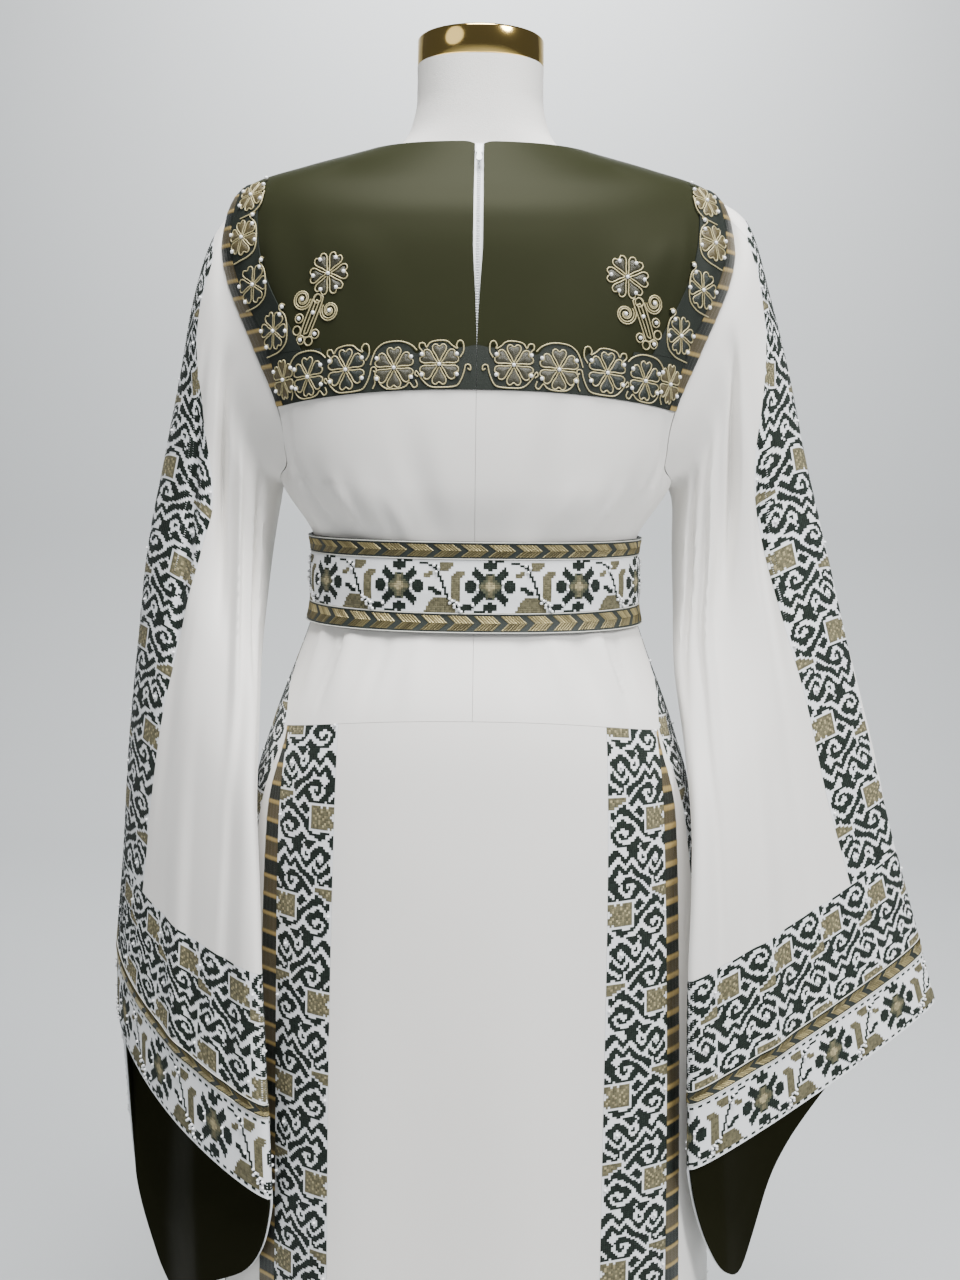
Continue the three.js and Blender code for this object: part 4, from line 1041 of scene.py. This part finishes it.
def border_inside(level):
    """The inner edge of the border that runs up beside the ribbon."""
    return armhole_edge(level) - ARMHOLE_RIBBON - BORDER_GAP - BORDER_SIDE


hem_low, hem_high = (between(BODY, YOKE_HEM + share)[:2] for share in (0.25, 0.35))
hem_rise = np.abs(hem_high - hem_low).min() / 0.1  # height gained in one ring number
border_corner = border_inside(YOKE_HEM)


def scallop_height(arc):
    """Height of the scalloped border above the yoke's hem."""
    return np.where(np.abs(arc) > border_corner, BORDER_PEAK, curve(SCALLOPS, np.abs(arc)))


for side in ("right", "left"):
    _, left, right = both_sides(zip_edge, ribbon_inside)[side == "left"]
    rows = []
    for share in np.linspace(0, 1, 11):
        low_level = YOKE_HEM + share * BORDER_PEAK / hem_rise
        arcs = np.linspace(left(low_level), right(low_level), 121)
        tops = YOKE_HEM + share * scallop_height(arcs) / hem_rise
        rows.append([body_row(level, [arc])[0] for level, arc in zip(tops, arcs)])
    cloth = Cloth(rows)
    piece = wall(f"yoke_border_hem_{side}", cloth, border_ground, lift=TRIM_LIFT, thick=TRIM_WALL)
    sewn(piece, cloth, "couched_border", held="laid", rests=[f"back_yoke_{side}"])
    _, left, right = both_sides(border_inside, ribbon_inside)[side == "left"]
    cloth = body_piece(left, right, YOKE_HEM + BORDER_PEAK / hem_rise, SHOULDER, 3)
    piece = wall(f"yoke_border_side_{side}", cloth, border_ground, lift=TRIM_LIFT, thick=TRIM_WALL)
    sewn(piece, cloth, "couched_border", held="laid", rests=[f"back_yoke_{side}"])
    _, left, right = both_sides(ribbon_inside, lambda level: armhole_edge(level) - ARMHOLE_GAP)[side == "left"]
    cloth = body_piece(left, right, YOKE_HEM, SHOULDER, across=12, up=1.65)
    piece = wall(f"armhole_ribbon_{side}", cloth, ribbon_silk, lift=TRIM_LIFT, thick=TRIM_WALL,
                 relief=ribbon_relief(cloth))
    ribbon_weave(piece, cloth)
    sewn(piece, cloth, "striped_ribbon", held="laid", rests=[f"back_yoke_{side}"])

# ---- Yoke embroidery ----
# Twisted pale gold cord is couched on the border and the yoke: rosettes of six heart petals, a winding
# outline with small loops, and a spray on each shoulder blade. Some petals are padded with satin stitch,
# and pearls are sewn on their tips and loops.
CORD = 0.58
PLY_TURN = 1.3
PEARL = 1.75
PAD_DYES = {"beige": (0.036, 0.034, 0.019), "gold": (0.078, 0.062, 0.025), "dark": (0.008, 0.013, 0.009)}

# Half a petal's outline from the rosette's middle out: part of the radius, and degrees from its axis.
PETAL = np.array([[0.13, 0], [0.42, 20], [0.76, 25], [0.95, 20], [1.0, 10], [0.87, 0]])

# Rosettes of the right half: place round and above the yoke's hem, radius, squeeze, first petal, padding.
ROSETTES = [
    (30.5, 20.3, 16.6, 1, 0, "beige"),
    (68, 18.6, 16.6, 1, 0, "beige"),
    (109.5, 20.3, 16.6, 1, 0, "dark"),
    (145.5, 19, 16, 0.94, 0, "dark"),
    (173, 21, 16.4, 0.72, 0, "gold"),
    (180, 63, 15.5, 0.92, 20, "dark"),
    (201, 106, 15.5, 1, 24, "dark"),
    (212, 148, 15, 1, 10, "gold"),
    (205, 186, 15, 1, 0, "gold"),
]
SPRAY_PLACE, SPRAY_RADIUS, SPRAY_LEAN, SPRAY_SCALE = (125, 101), 17.6, 26, 0.93

# The winding outline of the hem, for one pair of rosettes; the next pair is a pitch further out.
VINE_PITCH = 79
VINE = {
    "crown": [(13, 26), (10, 31), (10.5, 38), (14, 39.5), (16.5, 36), (15.5, 33), (20, 35.5), (24, 39), (31, 39.6),
              (38, 38), (41, 34), (43, 37.5), (46.5, 37.5), (47, 34), (44.5, 31), (45, 26.5)],
    "dip": [(6.5, 17), (4, 15.5), (4.5, 19.5), (8, 19.5), (9.5, 14), (12.5, 7), (17, 2.6), (28, 1.6), (38, 2.4),
            (44.5, 8), (49, 15), (50.5, 12.5), (48, 10.5)],
    "arch": [(49, 32), (53, 36), (60, 39.2), (68, 40), (77, 38.6), (83, 34), (86, 28), (88, 22)],
    "cup": [(50, 8), (48.5, 3.5), (51.5, 1.8), (55, 6), (58, 3.2), (63, 1.6), (72, 1.5), (77, 3.4), (80.5, 7.5),
            (82, 12.5), (84.5, 12), (84, 7), (86, 2.5)],
}
# The same up the side, for one rosette: distance in from the ribbon, and height.
SIDE_VINE = [(6, -20.4), (12, -20), (22, -18), (30, -12), (32, 0), (30.5, 10), (25, 16.5), (27, 20), (31, 18.5)]

# Cords of a spray, from its flower's middle: distance along the stem, and to its outer side.
SPRAY_CORDS = [
    [(57, -4.6), (24, -4.6), (20, -1.5), (24, 4.6), (57, 4.6), (58.5, 0), (57, -4.6)],
    [(54, -1.6), (27, -1.6), (25.5, 0), (27, 1.6), (54, 1.6), (55.2, 0), (54, -1.6)],
]
SPRAY_CURLS = [((28.5, 15.8), 1), ((29, -15), -1)]
SPRAY_LOOPS = [(45, 11.5), (55.5, 9.6), (61.8, 2.5), (60.2, -5.8), (52.5, -9.6), (23.5, 1.2)]
LOOP_RADIUS, CURL_RADIUS, CURL_TURNS = 3.9, 10.3, 1.9

cord_gold, cord_shader = surface("couched_cord", (0.43, 0.375, 0.20), 0.45)
cord_shader.inputs["Metallic"].default_value = 0.2
pad_silk, pad_shader = surface("satin_stitch", PAD_DYES["beige"], 0.4)
dyed(pad_silk, pad_shader)
grain(pad_silk, pad_shader, [(2600, 0.8)], 0.5)

YOKE_ARCS = np.arange(-236, 237, 4.0)
yoke_levels = np.linspace(YOKE_HEM, NECKLINE - 1.4, 72)
yoke_ground = Cloth([body_row(level, YOKE_ARCS) for level in yoke_levels], seam=0.0)
yoke_rises = np.array([Cloth.run(column) for column in yoke_ground.grid.transpose(1, 0, 2)])


def on_yoke(spots, lift):
    """Points of the back yoke at distances round from its centre and up from its hem."""
    arcs, rises = np.asarray(spots, float).T
    column = np.interp(arcs, YOKE_ARCS, np.arange(len(YOKE_ARCS)))
    low = np.minimum(column.astype(int), len(YOKE_ARCS) - 2)
    ends = [[np.interp(rise, yoke_rises[j + k], yoke_ground.up) for j, rise in zip(low, rises)] for k in (0, 1)]
    up = mix(np.array(ends[0]), np.array(ends[1]), column - low)
    return yoke_ground.at(np.interp(arcs, YOKE_ARCS, yoke_ground.across), up, lift)


def flowing(places, closed=False, step=0.9):
    """A smooth line through a few places, in even steps."""
    places = np.asarray(places, float)
    before = places[-1:] if closed else 2 * places[:1] - places[1:2]
    after = places[:2] if closed else 2 * places[-1:] - places[-2:-1]
    rows = np.vstack([before, places, after])
    fine = np.array([between(rows, level) for level in np.linspace(1, len(rows) - 2, (len(rows) - 3) * 10 + 1)])
    run = Cloth.run(fine)
    wanted = np.linspace(0, run[-1], max(round(run[-1] / step), 6) + 1)
    return np.stack([np.interp(wanted, run, fine[:, k]) for k in (0, 1)], -1)


def rosette(place, radius, squeeze, first):
    """Outlines of six heart petals round a place."""
    half = PETAL[1:-1]
    outline = np.vstack([PETAL[:-1], PETAL[-1:], half[::-1] * [1, -1]])
    petals = []
    for k in range(6):
        turn = np.radians(first + 60 * k + outline[:, 1])
        reach = radius * outline[:, 0]
        petal = np.stack([squeeze * reach * np.sin(turn), reach * np.cos(turn)], -1) + place
        petals.append(flowing(petal, closed=True))
    return petals


def ring_of(place, radius, turns=1.0, start=0.0, wind=1, inner=1.0):
    """A loop, or a curl that closes in to a part of its radius."""
    turn = np.linspace(0, 2 * math.pi * turns, max(round(radius * turns * 7), 12))
    reach = radius * np.linspace(1, inner, len(turn))
    return np.stack([np.cos(start + wind * turn) * reach, np.sin(start + wind * turn) * reach], -1) + place


for side, hand in (("right", 1), ("left", -1)):
    cords, raised, spots = [], [], []  # lines on the border, lines on the yoke, pearls with their lift
    pads, dyes = [], []
    for arc, rise, radius, squeeze, first, padding in ROSETTES:
        petals = rosette((arc, rise), radius, squeeze, first)
        cords += petals
        pads += petals
        dyes += [padding] * 6
        for degrees in (60, 120, 240, 300):
            turn = math.radians(first + degrees)
            spots.append((arc + squeeze * radius * math.sin(turn), rise + radius * math.cos(turn), TRIM_LIFT))
        spots.append((arc, rise, TRIM_LIFT))
    for pair in (0, 1):
        for line in VINE.values():
            line = [(arc + pair * VINE_PITCH, rise) for arc, rise in line]
            cords.append(flowing([spot for spot in line if spot[0] < 166]))
    for arc, rise, radius, squeeze, first, padding in ROSETTES[5:]:
        edge = arc + 16.5
        cords.append(flowing([(edge - inset, rise + up) for inset, up in SIDE_VINE if rise + up < 196]))
        spots.append((edge - 28.5, rise + 17.5, TRIM_LIFT))

    lean = math.radians(SPRAY_LEAN)
    along, aside = np.array([math.sin(lean), -math.cos(lean)]), np.array([math.cos(lean), math.sin(lean)])

    def sprayed(places):
        places = np.asarray(places, float)
        return SPRAY_PLACE + (places[..., :1] * along + places[..., 1:] * aside) * SPRAY_SCALE

    flower = rosette(SPRAY_PLACE, SPRAY_RADIUS, 1, 30)
    raised += flower + [flowing(sprayed(line)) for line in SPRAY_CORDS]
    raised += [sprayed(ring_of(spot, LOOP_RADIUS)) for spot in SPRAY_LOOPS]
    for spot, wind in SPRAY_CURLS:
        raised.append(sprayed(ring_of(spot, CURL_RADIUS, CURL_TURNS, -wind * 1.9, wind, 0.14)))
        raised.append(sprayed(ring_of(spot, CURL_RADIUS - 2.2, CURL_TURNS - 0.3, -wind * 1.9, wind, 0.22)))
        spots.append((*sprayed(spot), 0))
    spots += [(*sprayed(spot), 0) for spot in SPRAY_LOOPS[::2] + [(36, 0), (0, 0)]]
    for degrees in range(30, 360, 60):
        turn = math.radians(degrees)
        spots.append((SPRAY_PLACE[0] + 0.8 * SPRAY_RADIUS * math.sin(turn),
                      SPRAY_PLACE[1] + 0.8 * SPRAY_RADIUS * math.cos(turn), 0))

    for name, lines, lift in (("border_cords", cords, TRIM_LIFT), ("spray_cords", raised, 0)):
        piece = tube(f"{name}_{side}", [on_yoke(line * [hand, 1], lift + CORD * 0.8) for line in lines], CORD,
                     cord_gold, twist=PLY_TURN)
        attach(piece, "gown")
    points, faces, colours, count = [], [], [], 0
    for petal, dyed, base in [(p, d, TRIM_LIFT) for p, d in zip(pads, dyes)] + [(p, "beige", 0) for p in flower]:
        middle = petal.mean(0)
        shrink = 0.94 if base else 0.72
        for share, lift in ((shrink, 0.1), (shrink * 0.8, 0.75), (0, 0.9)):
            points.append(on_yoke((middle + (petal[:-1:2] - middle) * share) * [hand, 1], base + lift))
        size = len(petal[:-1:2])
        number = np.arange(3 * size).reshape(3, size) + count
        ahead = np.roll(number, -1, 1)
        faces.append(quads(number[:-1], number[1:], ahead[1:], ahead[:-1])[:, ::hand])
        colours.append(np.tile(PAD_DYES[dyed], (3 * size, 1)))
        count += 3 * size
    piece = make_mesh(f"petal_pads_{side}", np.vstack(points), np.vstack(faces), pad_silk)
    colour_points(piece, np.vstack(colours))
    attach(piece, "gown")
    spots = np.array(spots)
    places = [on_yoke([(hand * arc, rise)], lift + PEARL * 0.75)[0] for arc, rise, lift in spots]
    beads(f"pearls_{side}", places, PEARL, crystal)

# ---- Sleeves ----
# Each sleeve is a wide bell: a white back and front, and between them, down the outer edge, a stitched band
# with a small white cap over it at the shoulder. The front hangs lower than the back.
CUFF_ROW, RIBBON_TOP, RIBBON_LOW, SLEEVE_HEM = 8, 9, 10, 11
LINING_TOP = 7.2
HUG = {"right": (0.05, 0.42), "left": (0.2, 0.65)}
HUG_LEAST = 0.2
BLUNT = 0.7
BAND_START = 0.9
DROP_FROM = 2
UNDERARM_ANGLE = 180

# Rings round a sleeve: outer point, inner point, rear and front depth, bow, hug, and the place and width of
# the band along the slanting ring.
SLEEVES = {
    "right": np.array([
        [214, 0, 1382, 179, 0, 1122, 45, 45, 8, 0, 4, 64],
        [240, 0, 1360, 183, 2, 1107, 54, 50, 9, 0, 14, 64],
        [263, 0, 1295, 183, -4, 1067, 50, 50, 6, 0, 25, 64],
        [283, 0, 1228, 184, -14, 1016, 44, 50, 4, 0.1, 54, 118],
        [302, 0, 1151, 184, -34, 961, 36, 50, 0, 0.3, 52, 104],
        [324, 0, 1073, 190, -66, 900, 28, 52, 0, 0.6, 52, 90],
        [350, 0, 980, 193, -100, 839, 22, 56, 0, 0.9, 48, 78],
        [378, 0, 883, 192, -120, 773, 20, 60, 0, 1, 49, 76],
        [404, 0, 785, 190, -130, 701, 20, 66, 0, 1, 43, 74],
        [430, 0, 700, 192, -132, 602, 22, 72, 0, 1, 40, 72],
        [434, 0, 685, 193, -132, 589, 22, 73, 0, 1, 40, 72],
        [449, 0, 637, 194, -133, 530, 24, 76, 0, 1, 38, 70],
    ]),
    "left": np.array([
        [214, 0, 1380, 179, 0, 1122, 45, 45, 8, 0, 2, 64],
        [237, 0, 1342, 181, 2, 1107, 54, 50, 9, 0, 20, 64],
        [256, 4, 1289, 186, -6, 1072, 50, 50, 6, 0, 28, 64],
        [271, 9, 1222, 190, -18, 1030, 42, 50, 4, 0.1, 64, 126],
        [289, 14, 1144, 193, -40, 975, 34, 50, 0, 0.3, 58, 114],
        [307, 20, 1065, 190, -74, 920, 28, 50, 2, 0.6, 54, 98],
        [320, 27, 973, 187, -108, 852, 24, 52, 8, 0.9, 50, 88],
        [332, 33, 875, 182, -127, 778, 22, 56, 14, 1, 46, 92],
        [341, 38, 763, 179, -138, 706, 22, 60, 18, 1, 40, 94],
        [349, 40, 681, 174, -144, 591, 24, 64, 22, 1, 34, 90],
        [349, 40, 665, 173, -144, 578, 24, 64, 22, 1, 34, 90],
        [350, 40, 608, 170, -146, 505, 26, 66, 22, 1, 32, 88],
    ]),
}

# How much lower the front hangs, at an angle round the sleeve from its outer point.
DROP = {
    "right": np.array([
        [180, 0], [190, 14], [202, 50], [214, 92], [226, 132], [238, 160], [247, 146], [257, 114], [270, 84],
        [300, 42], [330, 12], [360, 0],
    ], float),
    "left": np.array([
        [180, 0], [190, 20], [202, 56], [216, 92], [235, 130], [252, 168], [265, 218], [276, 246], [287, 250],
        [300, 234], [320, 204], [335, 172], [345, 125], [354, 54], [360, 0],
    ], float),
}
SLEEVE_FOLDS = {
    "right": np.array([
        [112, 34, 0.4, 6, -12, 0],  # hollow from the armhole down the back
        [152, 26, 1.4, 9, 7, 0],
        [236, 30, 1, 8, -8, 0],
        [296, 34, 2, 11.5, 8, 0],
        [96, 10, 0.3, 4.4, -13, 30],  # drag lines from the armhole
        [124, 8, 0.4, 6.6, 11, 26],
        [146, 7, 0.3, 5.4, -9, 20],
        [78, 8, 1.6, 7.5, -6.5, 14],
        [140, 10, 4, 10, -7.5, -8],
        [108, 10, 4.6, 11.5, 5.5, 6],
        [84, 7, 5, 9, -2.2, -6],
        [262, 12, 1.5, 9, 4, 8],
        [318, 12, 1.5, 10, -3.4, -6],
    ]),
    "left": np.array([
        [112, 34, 0.4, 6, -12, 0],
        [150, 26, 1.4, 10, 7, 0],
        [236, 30, 1, 8, -8, 0],
        [300, 34, 2, 11.5, 8, 0],
        [98, 10, 0.3, 4.8, -13, 26],
        [126, 8, 0.5, 6.6, 11, 24],
        [148, 7, 0.3, 5.4, -9, 20],
        [72, 9, 1.0, 7.5, -6, 18],
        [138, 10, 4, 11, -7.5, -8],
        [100, 11, 5, 11.5, 6, 10],
        [82, 7, 4, 8.6, -2.4, -6],
        [262, 12, 1.5, 9, 4, 8],
        [322, 12, 1.5, 10, -3.4, -6],
    ]),
}
LOOP_STEPS = 48


def armhole_loop(front):
    """The armhole from the shoulder down its back or front edge, with the distance along it."""
    levels = np.linspace(SHOULDER, UNDERARM, LOOP_STEPS + 1)
    points = np.array([body_row(level, [armhole_edge(level, front)])[0] for level in levels])
    return points, Cloth.run(points)


LOOPS = {False: armhole_loop(False), True: armhole_loop(True)}


def loop_points(degrees):
    """Points of the armhole, by the angle round the sleeve."""
    result = np.zeros((len(degrees), 3))
    for front in (False, True):
        chosen = degrees > 180 if front else degrees <= 180
        points, lengths = LOOPS[front]
        turn = np.radians(360 - degrees[chosen] if front else degrees[chosen])
        wanted = lengths[-1] * (1 - np.cos(turn)) / 2
        result[chosen] = np.stack([np.interp(wanted, lengths, points[:, k]) for k in range(3)], -1)
    return result


def sleeve_ring(side, row, degrees):
    if row == 0:
        return loop_points(degrees)
    x_out, y_out, z_out, x_in, y_in, z_in, rear, front, bow, hug, _, _ = SLEEVES[side][row]
    turn = np.radians(degrees)
    along = (1 + np.cos(turn)) / 2
    across = np.abs(np.sin(turn)) ** BLUNT
    held = mix(1, np.maximum(smooth(along, *HUG[side]), HUG_LEAST), hug)
    before = degrees > 180
    depth = np.where(before, front * across * held, -rear * across)
    drop = np.where(before, curve(DROP[side], degrees) * smooth(row, DROP_FROM, CUFF_ROW), 0)
    return np.stack([
        mix(x_in, x_out, along) + bow * np.sin(turn) ** 2,
        mix(y_in, y_out, along) + depth,
        mix(z_in, z_out, along) - drop,
    ], -1)


def sleeve_row(side, level, degrees):
    """Points round a sleeve: 0 degrees is its outer edge, 90 its back, 180 underneath, 270 its front."""
    angle = np.asarray(degrees, float) % 360
    i = int(np.clip(math.floor(level), 0, SLEEVE_HEM - 1))
    near = [int(np.clip(k, 0, SLEEVE_HEM)) for k in (i - 1, i, i + 1, i + 2)]
    rings = np.array([sleeve_ring(side, row, angle) for row in near])
    t = level - i
    a, b, c, d = rings
    start, end = (c - a) / 2, (d - b) / 2
    points = (2 * b - 2 * c + start + end) * t**3 + (3 * c - 3 * b - 2 * start - end) * t**2 + start * t + b
    turn = np.radians(angle)
    outward = np.stack([np.cos(turn) / 2, -np.sin(turn), 0 * turn], -1)
    outward /= np.linalg.norm(outward, axis=1)[:, None]
    points += outward * fold_depth(SLEEVE_FOLDS[side], angle, level)[:, None]
    return points if side == "right" else points * [-1, 1, 1]


def band_edges(side, level):
    """The angles of the sleeve band's front and rear edges."""
    angles = np.arange(-80, 141, 1.0)
    run = Cloth.run(sleeve_row(side, level, angles))
    run -= np.interp(0, angles, run)
    place, spread = between(SLEEVES[side], level)[10:]
    return [np.interp(place + offset, run, angles) for offset in (-spread / 2, spread / 2)]


def sleeve_piece(side, low, high, first, last, across, up):
    """A sleeve panel between two angles, each given at a ring number, its columns evenly spaced."""
    def middle(level):
        return sleeve_row(side, level, [(first(level) + last(level)) / 2])[0]

    rows = []
    for level in evenly(middle, low, high, up):
        angles = np.linspace(first(level), last(level), 81)
        run = Cloth.run(sleeve_row(side, level, angles))
        even = np.interp(np.linspace(0, run[-1], across + 1), run, angles)
        rows.append(sleeve_row(side, level, even))
    return Cloth(rows, facing=1 if side == "right" else -1)


def cuff_piece(side, low, high, across, up):
    """A closed ring of the sleeve's end: half its columns run round the back and half round the front."""
    rows = []
    middle = (low + high) / 2
    angles = []
    for start in (0, 180):
        fine = np.linspace(start, start + 180, 181)
        run = Cloth.run(sleeve_row(side, middle, np.minimum(fine, 359.999)))
        angles.append(np.interp(np.linspace(0, run[-1], across // 2, endpoint=False), run, fine))
    angles = np.concatenate(angles)
    for level in evenly(lambda level: sleeve_row(side, level, [90])[0], low, high, up):
        rows.append(sleeve_row(side, level, angles))
    return Cloth(rows, facing=1 if side == "right" else -1, closed=True)


for side in ("right", "left"):
    def front_edge(level, side=side):
        return band_edges(side, level)[0]

    def rear_edge(level, side=side):
        return band_edges(side, level)[1]

    def underarm(level):
        return UNDERARM_ANGLE

    def round_to_front(level, side=side):
        return 360 + band_edges(side, level)[0]

    hung = dict(held="hung")
    cloth = sleeve_piece(side, 0.03, CUFF_ROW, rear_edge, underarm, 46, 6)
    sewn(wall(f"sleeve_back_{side}", cloth, crepe), cloth, "white_crepe", **hung)
    cloth = sleeve_piece(side, 0.03, CUFF_ROW, underarm, round_to_front, 44, 9)
    sewn(wall(f"sleeve_front_{side}", cloth, crepe), cloth, "white_crepe", **hung)
    cloth = sleeve_piece(side, 0.03, BAND_START, front_edge, rear_edge, 20, 3)
    sewn(wall(f"sleeve_cap_{side}", cloth, crepe), cloth, "white_crepe", **hung)
    stitched_band(f"sleeve_band_{side}", sleeve_piece(side, BAND_START, CUFF_ROW, front_edge, rear_edge, 20, 6),
                  columns=BAND_COUNT, squared=True, **hung)

# ---- Cuffs ----
# Three rings end the sleeve: a band of scrolls, a chevron ribbon, and a hem band of star flowers. A satin
# lining, painted darker as shade, hangs free inside them.
LINING_GAP, LINING_WALL = 0.8, 1.2
CUFF_FLOWERS = ["." * 40, "##.." * 10, *STAR_FLOWERS[::-1], "..##" * 10, "." * 40]
for side in ("right", "left"):
    hung = dict(held="hung")
    size = cuff_piece(side, CUFF_ROW, SLEEVE_HEM, 200, 8).across[-1]
    columns = round(size / STITCH / 40) * 40
    cloth = cuff_piece(side, CUFF_ROW, RIBBON_TOP, columns // 3, 6)
    stitched_band(f"cuff_band_{side}", cloth, columns=columns, **hung)
    cloth = cuff_piece(side, RIBBON_TOP, RIBBON_LOW, columns // 3, 3)
    trims = chevron_trims(f"cuff_ribbon_{side}", cloth)
    piece = wall(f"cuff_ribbon_{side}", cloth, ribbon_ground)
    sewn(piece, cloth, "chevron_ribbon", trims=trims, **hung)
    cloth = cuff_piece(side, RIBBON_LOW, SLEEVE_HEM, columns // 3, 6)
    stitched_band(f"cuff_hem_{side}", cloth, CUFF_FLOWERS, columns, len(CUFF_FLOWERS), **hung)
    cloth = cuff_piece(side, LINING_TOP, SLEEVE_HEM, 120, 10)
    piece = wall(f"sleeve_lining_{side}", cloth, lining_satin, lift=-CLOTH - LINING_GAP, thick=LINING_WALL)
    sewn(piece, cloth, "olive_satin", **hung)

# ---- Zip ----
# A white coil zip lies under the open centre back, its slider at the neckline with a drop-shaped pull.
zip_white, zip_shader = surface("zip_tape", (0.82, 0.84, 0.86), 0.6)
grain(zip_white, zip_shader, [(1600, 0.8)], 0.3)
ZIP_PITCH, COIL, COIL_LIFT = 2.2, 0.6, 0.55
TAPE_HALF, TAPE_GAP = 11, 0.45
zip_enamel, _ = surface("zip_enamel", (0.80, 0.82, 0.84), 0.25)
cloth = body_piece(lambda level: -TAPE_HALF, lambda level: TAPE_HALF, YOKE_HEM, NECKLINE, across=12, up=3)
piece = wall("zip_tape", cloth, zip_white, lift=-CLOTH - TAPE_GAP, thick=TRIM_WALL)
sewn(piece, cloth, "zip_tape", held="laid", rests=["back_yoke_left", "back_yoke_right"])
up = np.arange(2, cloth.up[-1] - 12, ZIP_PITCH)
middle = cloth.across[-1] / 2
turns = [cloth.at(middle + offset, up, COIL_LIFT - CLOTH) for offset in (-1.1, -0.3, 0.3, 1.1)]
beads("zip_coil", np.vstack(turns), COIL, zip_enamel)


def repaint(names, material):
    """Gives CAD nodes that stay as they are their finish."""
    for name in names:
        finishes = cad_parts[name].data.materials
        finishes.clear()
        finishes.append(material)


repaint(("zip_slider", "zip_pull"), zip_enamel)

# ---- Dress form ----
# A padded form in close off-white linen, with a polished gold cap on its neck, on a grey stand.
FORM = np.array([
    [812, 812, 812, 146, 106, 102],
    [820, 820, 820, 156, 116, 110],
    [860, 860, 860, 168, 130, 118],
    [915, 915, 915, 166, 130, 112],
    [975, 975, 975, 146, 112, 100],
    [1040, 1040, 1040, 134, 101, 94],
    [1110, 1110, 1110, 150, 110, 102],
    [1190, 1184, 1190, 172, 119, 112],
    [1280, 1280, 1260, 194, 110, 98],
    [1338, 1340, 1300, 200, 99, 90],
    [1362, 1375, 1318, 188, 88, 85],
    [1386, 1392, 1331, 148, 75, 81],
    [1409, 1406, 1344, 98, 62, 77],
    [1430, 1426, 1388, 68, 58, 66],
    [1452, 1452, 1440, 57.5, 56.5, 57.5],
    [1472, 1472, 1472, 56, 56, 56],
    [1491.2, 1491.2, 1491.2, 56, 56, 56],
])
CAP_FOOT, CAP_TOP, CAP_RADIUS, CAP_ROUND = 1491.5, 1516, 56, 2.4
linen, linen_shader = surface("form_linen", (0.78, 0.765, 0.73), 0.85)
grain(linen, linen_shader, [(1500, 0.8), (400, 0.3)], 0.4)
gold, gold_shader = surface("cap_gold", (0.86, 0.61, 0.20), 0.12)
gold_shader.inputs["Metallic"].default_value = 1
grain(gold, gold_shader, [(60, 0.3)], 0.05)
stand_paint, stand_shader = surface("stand_paint", (0.10, 0.10, 0.11), 0.45)
stand_shader.inputs["Metallic"].default_value = 0.6
grain(stand_paint, stand_shader, [(900, 0.5)], 0.2)


def turned_faces(rows, columns):
    """Faces between closed rings, one ring after another."""
    number = np.arange(rows * columns).reshape(rows, columns)
    number = np.hstack([number, number[:, :1]])
    return quads(number[:-1, :-1], number[:-1, 1:], number[1:, 1:], number[1:, :-1])


around = np.linspace(0, 360, 72, endpoint=False)
rings = [oval(between(FORM, level), around) for level in np.linspace(0, len(FORM) - 1, 65)]
rings = [rings[0] * [0.02, 0.02, 1], *rings, rings[-1] * [0.02, 0.02, 1]]
form = make_mesh("form_cover", np.vstack(rings), turned_faces(len(rings), len(around)), linen, sharp=50)
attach(form, "gown")
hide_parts("form_torso")

turn = np.linspace(0, math.pi / 2, 7)
profile = [(1, CAP_FOOT), (CAP_RADIUS - 1, CAP_FOOT), (CAP_RADIUS, CAP_FOOT + 1)]
profile += [(CAP_RADIUS - CAP_ROUND * (1 - math.cos(a)), CAP_TOP - CAP_ROUND * (1 - math.sin(a))) for a in turn]
profile += [(1, CAP_TOP)]
spin = np.radians(around)
rings = [np.stack([r * np.sin(spin), -r * np.cos(spin), np.full_like(spin, z)], -1) for r, z in profile]
cap = make_mesh("neck_cap", np.vstack(rings), turned_faces(len(rings), len(around)), gold, sharp=50)
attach(cap, "gown")
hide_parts("form_cap")
repaint(("stand_pole", "stand_base"), stand_paint)

# ---- Finish ----
low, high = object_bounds()
